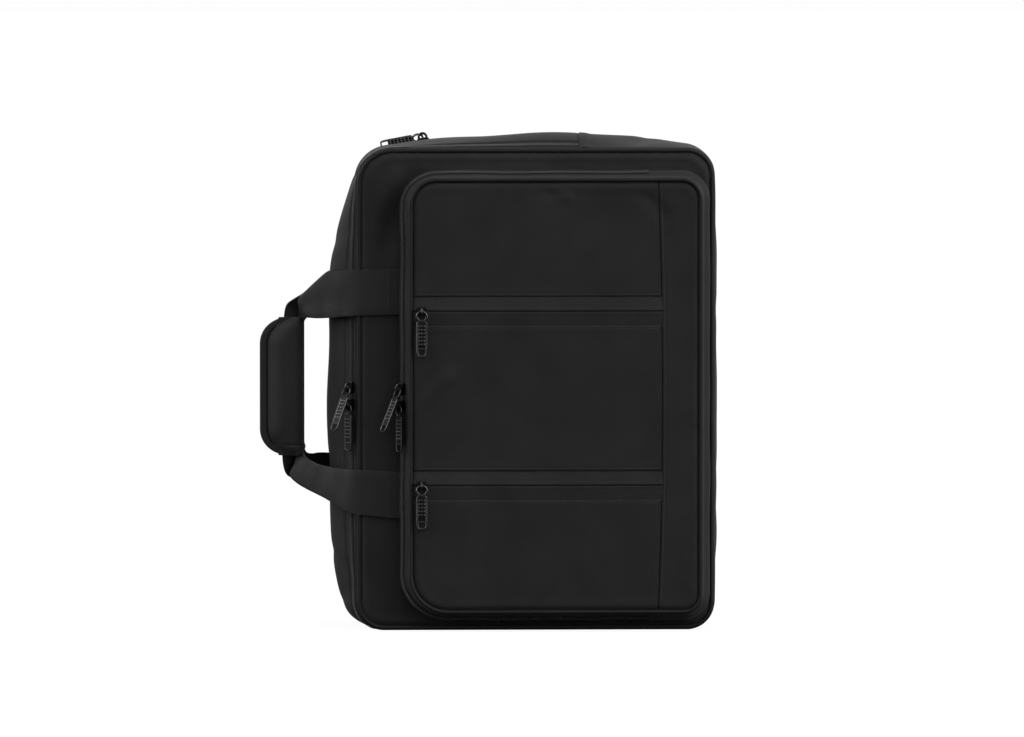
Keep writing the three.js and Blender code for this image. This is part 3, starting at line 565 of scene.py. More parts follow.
def stitches(path, outward, pitch=3.0, length=2.3, width=0.55):
    """A row of sewing: one capsule a stitch along the path, lying on the cloth, slightly sunk at its ends."""
    points, along, _ = resampled(path, pitch)
    nearest = np.linspace(0, len(outward) - 1, len(points)).round().astype(int)
    side = unit(np.cross(outward[nearest], along))
    axes = np.stack([along, side, np.cross(along, side)], axis=1)
    shape, faces = capsule(length, width, width * 0.8)
    return repeated(shape, faces, points + outward[nearest] * 0.05, axes)


def wall_line(stations, out_of, y, lift):
    """A line along a wall at one depth, and the wall's normals there, from its slopes along and across."""
    depths = np.array([[y - 0.5, y, y + 0.5]])
    strip = wall_points(stations, out_of(stations, depths) + lift, depths)
    normals = grid_normals(strip)[:, 1]
    facing = normals[:, 0] * stations[:, 2] + normals[:, 2] * stations[:, 3]
    return strip[:, 1], normals * np.where(facing < 0, -1, 1)[:, None]


def coil(stations, out_of, y, lift):
    """The teeth of a coil zip: bars across the chain, from the left and right coils by turns, each reaching
    a little past the middle, where they lock. Those under the bag lie pressed to the floor."""
    line, up = wall_line(stations, out_of, y, lift)
    points, along, at = resampled(line, COIL_PITCH / 2)
    up = unit(np.stack([np.interp(at, lengths_along(line), up[:, i]) for i in range(3)], axis=1))
    side = unit(np.cross(up, along))
    turn = np.where(np.arange(len(points)) % 2 == 0, 1.0, -1.0)[:, None]
    reach = COIL_HALF_WIDTH * 1.25
    origins = points + side * turn * (COIL_HALF_WIDTH - reach / 2)
    axes = np.stack([side + along * COIL_SLANT * turn, along, np.cross(along, side)], axis=1)
    shape, faces = capsule(reach, COIL_PITCH * 0.46, TOOTH_HEIGHT)
    teeth = repeated(shape, faces, origins, axes)
    height = teeth["points"][:, 2]
    room = PRESSED_BELOW - PRESSED_TO
    pressed = PRESSED_TO + room * np.exp((height - PRESSED_BELOW) / room)
    teeth["points"][:, 2] = np.where(height < PRESSED_BELOW, pressed, height)
    return teeth


# Zip coil: polyester monofilament in a tight spiral, moulded black, with the gloss of plain plastic.
coil_plastic, tree, shader = new_material("zip_coil")
spot = add_node(tree, "ShaderNodeTexCoord").outputs["Object"]
worn = add_node(tree, "ShaderNodeTexNoise", {"Vector": spot, "Scale": 90.0, "Detail": 3.0}).outputs["Fac"]
tone = add_node(tree, "ShaderNodeMix", {0: worn, 6: hex_colour("#242424"), 7: hex_colour("#3a3a39")},
                data_type="RGBA")
rough = add_node(tree, "ShaderNodeMapRange", {"Value": worn, "To Min": 0.32, "To Max": 0.5})
bump = add_node(tree, "ShaderNodeBump", {"Height": worn, "Distance": 0.00005})
feed(shader, {"Base Color": tone.outputs[2], "Roughness": rough.outputs[0], "Normal": bump.outputs["Normal"],
              "Specular IOR Level": 0.5})

# Zip tape: a flat woven polyester band with fine ribs along it, duller than the coil. Ribs 1 mm apart.
zip_tape = woven_material("zip_tape", "#191919", "#222222", 2.2, 1.0, 0.09, 0.7, 0.1, 0.03)
# Bonded nylon thread, laid in short stitches: rounder and shinier than the cloth that it pulls down.
thread = woven_material("sewing_thread", "#161616", "#222222", 0.7, 0.7, 0.05, 0.5, 0.3, 0.05)

zip_side = half_walk(body_outline, body_turn, True)
plain_side = half_walk(body_outline, body_turn, False)
def wall_softness(seed, amount, dimples, floor_end=None):
    """Unevenness of a wall: a broad rumple with dimples, which fades at both seams and on the floor, where
    the walk's part up to floor_end lies."""
    def soft(along, y):
        fade = np.clip(1 - (np.abs(y) / GUSSET_HALF) ** 4, 0, 1)
        if floor_end:
            fade = fade * smooth_step(along, floor_end, floor_end + 50)
        value = amount * fade * rumple(along, y * 1.6, 85, seed)
        for centre, depth, width, lean in dimples:
            value = value - depth * fade * bulge(along - lean * y, centre, width)
        return value
    return soft


def soft_out(out_of, soft):
    """The same wall with its unevenness, for what is sewn on it."""
    def out(stations, y):
        return out_of(stations, y) + soft(walked(stations)[:, None], y)
    return out


body_soft = wall_softness(21, 0.9, ZIP_SIDE_DIMPLES, ON_FLOOR)
gusset_out = soft_out(body_out, body_soft)
for name, low, high, roll in (
        ("gusset_front_strip", -GUSSET_HALF, MAIN_ZIP_Y - 2.6, (0.0, 0.3)),
        ("gusset_middle_strip", MAIN_ZIP_Y + MAIN_TAPE_EDGE + 2.1, REAR_ZIP_Y - REAR_TAPE_EDGE, (0.8, 0.8)),
        ("gusset_rear_strip", REAR_ZIP_Y + REAR_TAPE_EDGE, GUSSET_HALF, (0.8, 0.0))):
    strip = make_piece(name + "_cloth", [wall_strip(zip_side, body_out, low, high, CLOTH_THICKNESS,
                                                    roll=roll, soft=body_soft)])
    fit(strip, nylon, "nylon_cloth", name)

for name, y, edge in (("main", MAIN_ZIP_Y, MAIN_TAPE_EDGE + 3), ("rear", REAR_ZIP_Y, REAR_TAPE_EDGE + 1.5)):
    low = max(y - edge, -GUSSET_HALF + 0.3)
    tape = make_piece(name + "_zip_tape", [wall_strip(zip_side, gusset_out, low, y + edge, TAPE_THICKNESS,
                                                      1.5, TAPE_SINK)])
    fit(tape, zip_tape, "zip")
    chain = make_piece(name + "_zip_coil", [coil(zip_side, gusset_out, y, COIL_LIFT)], 30)
    fit(chain, coil_plastic, "zip", name + "_zip_chain")

seams = []
for y in (MAIN_ZIP_Y + MAIN_TAPE_EDGE + 4.0, REAR_ZIP_Y - REAR_TAPE_EDGE - 1.9,
          REAR_ZIP_Y + REAR_TAPE_EDGE + 1.9):
    seams.append(stitches(*wall_line(zip_side, gusset_out, y, STITCH_LIFT)))

# Base gusset
# One length of the same nylon round the plain side: the bottom, the right side and the end of the top. Its
# two ends are folded under, laid over the ends of the zip strips and sewn down by two rows of stitches.

END_FOLD = 0.9
END_SEAMS, END_SEAM_HALF = (2.2, 8.6), 41.0
base_soft = wall_softness(33, 0.8, BASE_DIMPLES)


def base_out(stations, y):
    """The base gusset's wall: the filled form, its unevenness where it is free, and the raised fold of its
    end on top of the bag."""
    along = walked(stations)[:, None]
    end = along[-1, 0] - along
    fold = END_FOLD * (1 - smooth_step(along, 6, 11) - np.exp(-along / 0.8))
    standing = smooth_step(stations[:, None, 3], -0.9, -0.2)
    return body_out(stations, y) + fold * smooth_step(end, 0, 4) + base_soft(along, y) * standing


base = make_piece("base_gusset_cloth", [wall_strip(plain_side, base_out, -GUSSET_HALF, GUSSET_HALF,
                                                   CLOTH_THICKNESS)])
fit(base, nylon, "nylon_cloth", "base_gusset")
y = np.linspace(-END_SEAM_HALF, END_SEAM_HALF, 40)
for distance in END_SEAMS:
    at = int(np.searchsorted(walked(plain_side), distance))
    out = base_out(plain_side, y[None, :])[at][:, None] + STITCH_LIFT
    line = wall_points(np.repeat(plain_side[at:at + 1], len(y), 0), out, y[:, None])[:, 0]
    seams.append(stitches(line, np.array([[0.0, 0.0, 1.0]])))
gusset_seams = make_piece("gusset_stitches", seams, 80)
fit(gusset_seams, thread, "nylon_cloth")

# Front compartment: the wall round it
# A narrow wall of the same nylon carries the zip on three sides and is plain on the other. It leans inwards
# towards its front edge, where it is sewn to the face with a piped seam.

POCKET_LEFT, POCKET_RIGHT, POCKET_BOTTOM, POCKET_TOP = -117.0, 153.0, 10.5, 396.5
POCKET_RADII = (30.0, 24.0, 22.0, 40.0)
POCKET_ZIP_END = 100.0
POCKET_BACK, POCKET_DEPTH = -48.7, 28.0
POCKET_FRONT = POCKET_BACK - POCKET_DEPTH
POCKET_TAPER, POCKET_SWELL = 5.8, 1.6
TAPER_FROM, TAPER_OVER = 8.4, 15.4
POCKET_ZIP_Y, POCKET_TAPE_EDGE = -64.7, 3.4
POCKET_TAPE_HALF, POCKET_TAPE_SINK, POCKET_COIL_LIFT = 5.0, 0.7, 0.6
POCKET_PIPING_Y, POCKET_PIPING_RADIUS = -78.8, 1.8
DRAWN_IN, RAISED = 3.2, 4.2

pocket_outline, pocket_turn = rounded_outline(
    POCKET_LEFT, POCKET_RIGHT, POCKET_BOTTOM, POCKET_TOP, POCKET_RADII, POCKET_ZIP_END, 2.2)
pocket_zip_side = half_walk(pocket_outline, pocket_turn, True)
pocket_plain_side = half_walk(pocket_outline, pocket_turn, False)


def pocket_out(stations, y):
    """The compartment's wall: a half sine of swell over its depth, less a taper that eases in and out."""
    share = np.clip((POCKET_BACK - y) / POCKET_DEPTH, 0, 1)
    wall = POCKET_SWELL * np.sin(math.pi * share)
    wall = wall - POCKET_TAPER * smooth_step(POCKET_BACK - y, TAPER_FROM, TAPER_FROM + TAPER_OVER)
    return wall + 0 * stations[:, None, 0]


def pocket_soft(along, y):
    """Slack of the compartment's wall, which fades at both seams."""
    share = np.clip((POCKET_BACK - y) / POCKET_DEPTH, 0, 1)
    return 0.35 * np.sin(math.pi * share) * rumple(along, y * 2, 55, 44)


pocket_wall_out = soft_out(pocket_out, pocket_soft)


def settled(parts):
    """The compartment's parts as they stand: its top is held nearly upright and raised, most at its front
    edge, and its plain side is drawn in."""
    moved = []
    for part in parts:
        x, y, z = part["points"].T
        forward = 0.6 + 0.4 * smooth_step(-y, -POCKET_BACK, -POCKET_FRONT)
        moved.append({**part, "points": np.stack([
            x - DRAWN_IN * smooth_step(x, 40, 128), y,
            z + RAISED * forward * smooth_step(z, 330, 396)], axis=1)})
    return moved


for name, stations, low, high, roll in (
        ("pocket_rear_strip", pocket_zip_side, POCKET_ZIP_Y + POCKET_TAPE_EDGE, POCKET_BACK, (0.7, 0.0)),
        ("pocket_front_strip", pocket_zip_side, POCKET_FRONT, POCKET_ZIP_Y - POCKET_TAPE_EDGE, (0.0, 0.7)),
        ("pocket_side_wall", pocket_plain_side, POCKET_FRONT, POCKET_BACK, (0.0, 0.0))):
    strip = wall_strip(stations, pocket_out, low, high, CLOTH_THICKNESS, roll=roll, soft=pocket_soft)
    fit(make_piece(name + "_cloth", settled([strip])), nylon, "nylon_cloth", name)

tape = wall_strip(pocket_zip_side, pocket_wall_out, POCKET_ZIP_Y - POCKET_TAPE_HALF,
                  POCKET_ZIP_Y + POCKET_TAPE_HALF, TAPE_THICKNESS, 1.5, POCKET_TAPE_SINK)
fit(make_piece("pocket_zip_tape", settled([tape])), zip_tape, "zip")
teeth = coil(pocket_zip_side, pocket_wall_out, POCKET_ZIP_Y, POCKET_COIL_LIFT)
fit(make_piece("pocket_zip_coil", settled([teeth]), 30), coil_plastic, "zip", "pocket_zip_chain")

cord = piping(pocket_outline, POCKET_TAPER + POCKET_PIPING_RADIUS, POCKET_PIPING_Y, POCKET_PIPING_RADIUS, 51)
fit(make_piece("pocket_piping_cord", settled([cord])), piping_cloth, "piping", "pocket_piping")
seams = [stitches(*wall_line(pocket_zip_side, pocket_wall_out, y, 0.1))
         for y in (POCKET_ZIP_Y + POCKET_TAPE_EDGE + 1.7, POCKET_ZIP_Y - POCKET_TAPE_EDGE - 1.7)]

# Face of the front compartment
# Four pieces of nylon: three between the pocket zips, and a side piece past a bowed seam. Each has its edges
# folded under and topstitched, over the zip tapes and along the bowed seam. What is inside crowns it softly.

FACE_INSET = 9.7
FACE_LEFT, FACE_RIGHT = POCKET_LEFT + FACE_INSET, POCKET_RIGHT - FACE_INSET
FACE_BOTTOM, FACE_TOP = POCKET_BOTTOM + FACE_INSET, POCKET_TOP - FACE_INSET
FACE_RADII = tuple(radius - FACE_INSET for radius in POCKET_RADII)
FACE_Y, FACE_THICKNESS, FACE_CROWN, FACE_SLACK = -79.7, 1.6, 3.5, 0.28
SIDE_SEAM_X, SIDE_SEAM_BOW, SEAM_GAP = 108.0, 3.5, 0.4
ZIP_HEIGHTS = {"upper": 279.3, "lower": 128.2}
HALF_TAPE = 12.0
# Each dent: how far across and up it is as a share of the face, its depth and its reach
FACE_DENTS = ((0.63, 0.94, 1.6, 34), (0.94, 0.92, 1.4, 26), (0.10, 0.58, -0.8, 30))
FACE_CREASES = (
    (-2.6, (-7, 394), (13, 379), 4), (1.6, (2, 396), (26, 376), 6), (-1.6, (90, 384), (112, 362), 7),
    (0.6, (118, 380), (124, 340), 9), (1.6, (-97, 203), (-78, 222), 7), (0.8, (-101, 160), (-101, 205), 5))
# Sections of the cloth at the piping and at a fold: how far back it lies, how far in, and its half width
RIM_SECTION = ((1.3, 0, 1.5), (-0.35, 5, 3))
FOLD_SECTION = ((0.9, 0, 0.7), (-0.25, 1.6, 0.9), (0.22, 2.6, 0.35), (-0.15, 5, 2.5))


def face_rise(x, z):
    """How far the face stands forward: a crown that is the product of two flattened humps, less soft dents
    that fall away as exp(-(distance / reach) squared)."""
    rise = FACE_CROWN * hump(x, FACE_LEFT, FACE_RIGHT, 3) * hump(z, FACE_BOTTOM, FACE_TOP, 3)
    for across, up, depth, reach in FACE_DENTS:
        dx = x - FACE_LEFT - across * (FACE_RIGHT - FACE_LEFT)
        dz = z - FACE_BOTTOM - up * (FACE_TOP - FACE_BOTTOM)
        rise = rise - depth * bulge(np.hypot(dx, dz), 0, reach)
    return np.maximum(0, rise)


def edge_distance(x, z):
    """Distance inwards from the face's rounded edge."""
    top_left, top_right, bottom_right, bottom_left = FACE_RADII
    left_side = x < (FACE_LEFT + FACE_RIGHT) / 2
    upper = z > (FACE_BOTTOM + FACE_TOP) / 2
    radius = np.where(left_side, np.where(upper, top_left, bottom_left),
                      np.where(upper, top_right, bottom_right))
    dx = np.where(left_side, x - FACE_LEFT, FACE_RIGHT - x)
    dz = np.where(upper, FACE_TOP - z, z - FACE_BOTTOM)
    in_corner = (dx < radius) & (dz < radius)
    return np.where(in_corner, radius - np.hypot(radius - dx, radius - dz), np.minimum(dx, dz))


def corner_cut(z, low, high):
    """How far a side of the face is drawn in at a height, by the quarter circles of its two corners."""
    under = np.maximum(0, FACE_BOTTOM + low - z)
    over = np.maximum(0, z - FACE_TOP + high)
    return low + high - np.sqrt(np.maximum(0, low * low - under * under)) - np.sqrt(
        np.maximum(0, high * high - over * over))


def left_edge(z):
    """The face's left edge at a height."""
    return FACE_LEFT + corner_cut(z, FACE_RADII[3], FACE_RADII[0])


def right_edge(z):
    """The face's right edge at a height."""
    return FACE_RIGHT - corner_cut(z, FACE_RADII[2], FACE_RADII[1])


def seam_x(z):
    """The bowed seam between the middle pieces and the side piece."""
    return SIDE_SEAM_X + SIDE_SEAM_BOW * hump(z, FACE_BOTTOM, FACE_TOP, 2)


def short_of_seam(z):
    """Where the middle pieces end, a little short of the bowed seam."""
    return seam_x(z) - SEAM_GAP


def face_y(x, z):
    """Depth of the face: its crown and dents, and its slack and creases where it is clear of its edge."""
    slack = FACE_SLACK * rumple(x, z, 75, 61) + creases(x, z, FACE_CREASES)
    return FACE_Y - face_rise(x, z) - slack * smooth_step(edge_distance(x, z), 3, 16)


def section(distance, rows):
    """Bulges added up, each as high as its row says, by the distance in from an edge."""
    return sum(height * bulge(distance, middle, width) for height, middle, width in rows)


def eased(count):
    """Shares from 0 to 1 in cosine steps, closer together near both ends."""
    return (1 - np.cos(np.linspace(0, 1, count) * math.pi)) / 2


def face_piece(low, high, from_x, to_x, columns, rows):
    """A panel of the face on a grid of heights and shares across. Along a zip and along the bowed seam its
    edge is folded: the cloth turns under there and puffs up a little inside."""
    z = (low + (high - low) * eased(rows))[:, None] + np.zeros((1, columns))
    x = from_x(z) + (to_x(z) - from_x(z)) * eased(columns)[None, :]
    y = face_y(x, z) + section(edge_distance(x, z), RIM_SECTION)
    folds = [np.abs(x - seam_x(z))]
    if low > FACE_BOTTOM:
        folds.append(z - low)
    if high < FACE_TOP:
        folds.append(high - z)
    for distance in folds:
        y = y + section(distance, FOLD_SECTION)
    outer = np.stack([x, y, z], axis=-1)
    return skin(outer, outer + np.array([0, FACE_THICKNESS, 0]), np.stack([x, z], axis=-1))


zip_edges = [ZIP_HEIGHTS[which] + side * (HALF_TAPE + SEAM_GAP) for which in ("lower", "upper")
             for side in (-1, 1)]
for name, low, high, from_x, to_x, columns, rows in (
        ("face_bottom_panel", FACE_BOTTOM, zip_edges[0], left_edge, short_of_seam, 120, 70),
        ("face_middle_panel", zip_edges[1], zip_edges[2], left_edge, short_of_seam, 120, 80),
        ("face_top_panel", zip_edges[3], FACE_TOP, left_edge, short_of_seam, 120, 70),
        ("face_side_panel", FACE_BOTTOM, FACE_TOP, seam_x, right_edge, 32, 190)):
    panel = face_piece(low, high, from_x, to_x, columns, rows)
    fit(make_piece(name + "_cloth", settled([panel])), nylon, "nylon_cloth", name)

# Pocket zips of the face
# Two reversed coil zips: the coils are behind, so only the two flat tapes show, meeting in a dark slit. The
# coil behind pushes both tapes forward there, so each slopes back to its own seam.

SLIT_HALF, POCKET_ZIP_THICKNESS = 0.28, 0.8
TAPE_PROUD, TAPE_FALL = 1.0, 1.9
LIP_SECTION = ((1.6, SLIT_HALF, 0.35), (0.16, 4.2, 0.5))
BEHIND_SLIT, BEHIND_HALF = 1.7, 1.2


def zip_half(height, side):
    """One tape of a reversed zip, on a grid of distances from the slit: proud by a rounded lip at the slit,
    then sloping back in a straight line to under the panel's fold."""
    distance = np.concatenate([[SLIT_HALF, 0.34, 0.5, 0.8, 1.2, 1.8, 2.6],
                               np.linspace(3.6, HALF_TAPE + 2, 14)])
    share = np.linspace(0, 1, 110)[None, :]
    z = height + side * distance[:, None] + 0 * share
    x = left_edge(z) + (short_of_seam(z) + 1.5 - left_edge(z)) * share
    slope = TAPE_FALL * distance / HALF_TAPE - TAPE_PROUD + section(distance, LIP_SECTION)
    y = face_y(x, np.full_like(z, height)) + slope[:, None] + 0.14 * rumple(x, z, 38, 66)
    outer = np.stack([x, y + bulge(x, FACE_LEFT, 1.6), z], axis=-1)
    return skin(outer, outer + np.array([0, POCKET_ZIP_THICKNESS, 0]), np.stack([x, z], axis=-1))


for which, height in ZIP_HEIGHTS.items():
    x, z = np.meshgrid(np.linspace(FACE_LEFT + 1, SIDE_SEAM_X, 40),
                       [height - BEHIND_HALF, height + BEHIND_HALF], indexing="ij")
    back = np.stack([x, face_y(x, z) + BEHIND_SLIT, z], axis=-1)
    behind = skin(back, back + np.array([0, 0.5, 0]), np.stack([x, z], axis=-1))
    halves = settled([zip_half(height, 1), zip_half(height, -1), behind])
    fit(make_piece(which + "_pocket_zip_tapes", halves), zip_tape, "zip", which + "_pocket_zip")

# Topstitching of the face, 2.6 mm in from each fold
STITCH_IN = 2.6
rows = []
for edge, inwards in zip(zip_edges, (-1, 1, -1, 1)):
    x = np.linspace(FACE_LEFT + 2.5, float(seam_x(np.array(edge))) - 2.0, 90)
    rows.append((x, np.full_like(x, edge + inwards * STITCH_IN)))
z = np.linspace(FACE_BOTTOM + 2.5, FACE_TOP - 2.5, 150)
rows.append((seam_x(z) + STITCH_IN, z))
for x, z in rows:
    seams.append(stitches(np.stack([x, face_y(x, z) - 0.05, z], axis=1), np.array([[0.0, -1.0, 0.0]])))
fit(make_piece("pocket_stitches", settled(seams), 80), thread, "nylon_cloth")

# Handle webbing
# Two lengths of 40 mm nylon webbing, one from the front panel and one from the back. Each is sewn flat to its
# panel, bends round the edge of the bag, and is folded lengthwise where it goes into the grip.

WEB_THICKNESS, WEB_WIDTH = 1.8, 40.0
# Share of a section where the folded part begins, and the depth that each webbing is squeezed to in the grip
FOLD_FROM = 0.72
SQUEEZED = {-1: 2.6, 1: 2.2}
BELLY, WEB_SLACK = 0.9, 0.7
GROOVE_AT, GROOVE_DEPTH, GROOVE_WIDTH = 1.9, 0.18, 0.5


def through(keys, samples):
    """A smooth walk through key rows: Catmull-Rom cubics, each key span cut into the same steps."""
    keys = np.array(keys, float)
    ends = np.concatenate([2 * keys[:1] - keys[1:2], keys, 2 * keys[-1:] - keys[-2:-1]])
    at = np.linspace(0, len(keys) - 1, samples)
    span = np.minimum(at.astype(int), len(keys) - 2)
    t = (at - span)[:, None]
    a, b, c, d = (ends[span + i] for i in range(4))
    return 0.5 * (2 * b + (c - a) * t + (2 * a - 5 * b + 4 * c - d) * t ** 2
                  + (3 * b - a - 3 * c + d) * t ** 3)


# Depth of the webbing's middle by its x, in front: flat on the panel, then back towards the grip's plane
WEB_DEPTHS = (
    (-216, -3.2), (-212, -5), (-206, -9), (-200, -13.5), (-190, -22), (-180, -31), (-170, -39.4),
    (-163, -44.8), (-158, -47.8), (-154, -49.4), (-150, -50.4), (-143, -51.9), (-135, -53), (-127, -53.6),
    (-117, -53.8))

# Rows of key sections: inner edge x z, outer edge x z, width of the part folded back, share of the way that
# the two layers are squeezed to the grip's middle.
FRONT_UPPER = (
    (-117.3, 275.2, -117.3, 314.6, 0, 0), (-130, 274.9, -130, 314.4, 0, 0),
    (-143, 274.6, -143, 314.2, 0, 0), (-156, 274.0, -156, 313.9, 0, 0), (-167, 273.2, -167, 313.3, 0, 0),
    (-177, 271.8, -178, 311.8, 0, 0), (-185, 271.0, -188.5, 303.6, 4, 0),
    (-191, 270.8, -197.5, 294.8, 8, 0), (-195.5, 271.0, -204.0, 287.2, 11, 0),
    (-198.4, 270.8, -203.9, 280.8, 12, 0.2), (-200.0, 268.6, -203.6, 275.4, 12, 0.6),
    (-203.0, 262, -206.5, 266.5, 12, 1), (-205.5, 250, -214, 250, 10, 1))
FRONT_LOWER = (
    (-117.3, 138.2, -117.3, 98.2, 0, 0), (-130, 138.8, -130, 99.0, 0, 0), (-143, 139.6, -143, 100.4, 0, 0),
    (-156, 139.9, -156, 101.6, 0, 0), (-167, 140.2, -167, 105.6, 0, 0), (-177, 141.2, -178, 112.2, 0, 0),
    (-186, 142.8, -188.5, 118.0, 4, 0), (-192, 144.8, -198.5, 123.0, 8, 0),
    (-196.5, 146.8, -207.5, 127.8, 10, 0), (-199.5, 149.4, -212.5, 133.4, 11, 0.2),
    (-201.8, 152.6, -208.6, 142.4, 12, 0.6), (-204.5, 158, -207.0, 153.0, 12, 1),
    (-205.5, 170, -214, 170, 10, 1))
REAR_UPPER = (
    (-128, 275.2, -128, 314.6, 0, 0), (-143, 274.6, -143, 314.2, 0, 0), (-156, 274.3, -156, 313.9, 0, 0),
    (-167, 273.9, -167, 310.3, 0, 0), (-177, 273.2, -178, 307.8, 0, 0), (-187, 272.8, -189, 300.0, 0, 0),
    (-193, 272.4, -199, 292.2, 0, 0), (-197, 271.8, -208, 287.0, 0, 0),
    (-199, 270.6, -214.2, 283.0, 0, 0.3), (-200.5, 268.2, -217.0, 278.0, 0, 0.7),
    (-202, 264, -218.2, 270.0, 0, 0.9), (-203, 256, -219, 260, 0, 1), (-204, 250, -219, 250, 0, 1))
REAR_LOWER = (
    (-128, 138.8, -128, 98.8, 0, 0), (-143, 139.6, -143, 100.4, 0, 0), (-156, 140.8, -156, 102.6, 0, 0),
    (-167, 145.4, -167, 106.6, 0, 0), (-177, 150.0, -178, 112.6, 0, 0), (-187, 151.0, -189, 119.0, 0, 0),
    (-193, 150.6, -199, 124.4, 0, 0), (-197, 151.2, -208, 128.6, 0, 0),
    (-199, 153.0, -215.0, 132.4, 0, 0.3), (-200.5, 156.0, -218.2, 138.6, 0, 0.7),
    (-202, 160, -219.6, 148.0, 0, 0.9), (-203, 166, -219.4, 160, 0, 1), (-204, 170, -219, 170, 0, 1))


def webbing(side, upper, lower):
    """One webbing. Each section runs from its inner edge to its outer edge, then turns back by the folded
    width; the corner between them is rounded by averaging along the section. side is -1 in front."""
    rows = np.concatenate([through(upper, 96), through(lower, 96)[::-1]])
    inner_x, inner_z, outer_x, outer_z, folded, squeeze = rows.T
    squeeze = np.clip(squeeze, 0, 1)

    def edge_points(x, z):
        depth = np.abs(np.interp(x, *zip(*WEB_DEPTHS)))
        depth = side * (depth * (1 - squeeze) + np.minimum(SQUEEZED[side], depth) * squeeze)
        return np.stack([x, depth, z], axis=1)

    inner, outer = edge_points(inner_x, inner_z), edge_points(outer_x, outer_z)
    back = np.stack([0.25 * folded, -side * 0.45 * folded * (1 - 0.6 * squeeze), 0 * folded], axis=1)
    across = np.linspace(0, 1, 41)
    grid = inner[:, None] + (outer - inner)[:, None] * np.minimum(1, across / FOLD_FROM)[None, :, None]
    grid = grid + back[:, None] * np.maximum(0, (across - FOLD_FROM) / (1 - FOLD_FROM))[None, :, None]
    for _ in range(3):
        grid[:, 1:-1] = (grid[:, :-2] + 2 * grid[:, 1:-1] + grid[:, 2:]) / 4
    along = lengths_along((inner + outer) / 2)[:, None]
    normals = grid_normals(grid)
    normals *= np.where(normals[:1, :1, 1:2] * side < 0, -1, 1)
    v = across[None, :] * WEB_WIDTH
    loose = smooth_step(np.abs(inner_x), 156, 170)[:, None] * (1 - squeeze)[:, None]
    belly = loose * (BELLY * np.sin(across * math.pi)[None, :] + WEB_SLACK * rumple(along, v, 24, 72))
    edge = np.minimum(v, WEB_WIDTH - v)
    half = WEB_THICKNESS / 2 * (1 - 0.5 * np.exp(-edge / 0.7))
    half = half - GROOVE_DEPTH * bulge(edge, GROOVE_AT, GROOVE_WIDTH)
    front, rear = grid + normals * (belly + half)[..., None], grid + normals * (belly - half)[..., None]
    # Painted shade: the inside mark darkens the webbing where it is squeezed into the grip, bar the rear one's
    # fold
    inside = smooth_step(squeeze, 0.0, 0.5)[:, None]
    if side > 0:
        inside = inside * (1 - smooth_step(across, 0.64, 0.72)[None, :])
    part = skin(front, rear, np.stack(np.broadcast_arrays(along, v), axis=-1), inside=inside)
    # The layer that faces the bag gets painted shade along the whole of the free part
    bag_side_shade = part["marks"]["inside"][front[..., 0].size:]
    bag_side_shade[:] = np.maximum(bag_side_shade, np.repeat(smooth_step(np.abs(inner_x), 158, 172), len(across)))
    return part, grid, normals, inner_x


# Webbing: heavy nylon yarns woven in a tight warp-faced band, so fine ribs run across it, 1.4 mm apart.
# Where it is folded into the grip, and on the free part's layer towards the bag, it is painted near black as
# painted shade.
web_cloth = woven_material("nylon_webbing", "#131313", "#1b1b1b", 1.4, 1.1, 0.16, 0.55, 0.15, 0.05)


def tint(material, mark, colour):
    """Blends the cloth's colour to another one where the mark is 1."""
    tree = material.node_tree
    shader = tree.nodes["Principled BSDF"]
    share = add_node(tree, "ShaderNodeAttribute", attribute_name=mark).outputs["Fac"]
    plain = shader.inputs["Base Color"].links[0].from_socket
    mixed = add_node(tree, "ShaderNodeMix", {0: share, 6: plain, 7: hex_colour(colour)}, data_type="RGBA")
    feed(shader, {"Base Color": mixed.outputs[2]})


# Painted shade: the webbing goes near black where the inside mark is 1
tint(web_cloth, "inside", "#060606")
seams = []
for name, side, upper, lower, sewn_x in (("front_handle_web", -1, FRONT_UPPER, FRONT_LOWER, -128.0),
                                         ("rear_handle_web", 1, REAR_UPPER, REAR_LOWER, -139.0)):
    part, grid, normals, inner_x = webbing(side, upper, lower)
    fit(make_piece(name + "bing", [part]), web_cloth, "webbing", name)
    half = len(inner_x) // 2
    for first in (0, half):
        at = first + int(np.argmin(np.abs(inner_x[first:first + half] - sewn_x)))
        line = grid[at, 2:-2] + normals[at, 2:-2] * 0.95
        seams.append(stitches(line, np.array([[0.0, float(side), 0.0]]), 2.6, 2.0, 0.7))
fit(make_piece("webbing_stitches", seams, 80), thread, "webbing")

# Grip of the handle
# A padded sheet wrapped round both webbings. Its two long edges are bound together with a narrow tape on the
# side away from the bag, with the corners rounded off, and its lower end is hemmed by a turned cuff.

GRIP_LINE_X, GRIP_FOLD_X = -213.0, -200.3
GRIP_BOTTOM, GRIP_TOP = 150.0, 271.0
GRIP_WIDTH, GRIP_THICKNESS, GRIP_EDGE_THICKNESS = 39.0, 25.0, 5.6
GRIP_CORNER_WIDTH, GRIP_CORNER_HEIGHT = 25.0, 23.0
GRIP_NARROWEST = 22.5
GRIP_BAND, BAND_GROOVE, BAND_GROOVE_WIDTH = 6.4, 1.5, 0.9
FOLD_ROUND = 13.5
CUFF_HEIGHT, CUFF_DEPTH, CUFF_WIDTH = 9.5, 0.9, 0.7
NUB, NUB_WIDTH = 1.1, 2.2
SLOT_HALF_WIDTH, SLOT_HALF_DEPTH = 9.3, 4.05


def quarter_round(share):
    """A quarter circle: 0 at 0, rising steeply, and level at 1, as the root of 1 - (1 - share) squared."""
    return np.sqrt(np.clip(1 - (1 - np.clip(share, 0, 1)) ** 2, 0, 1))


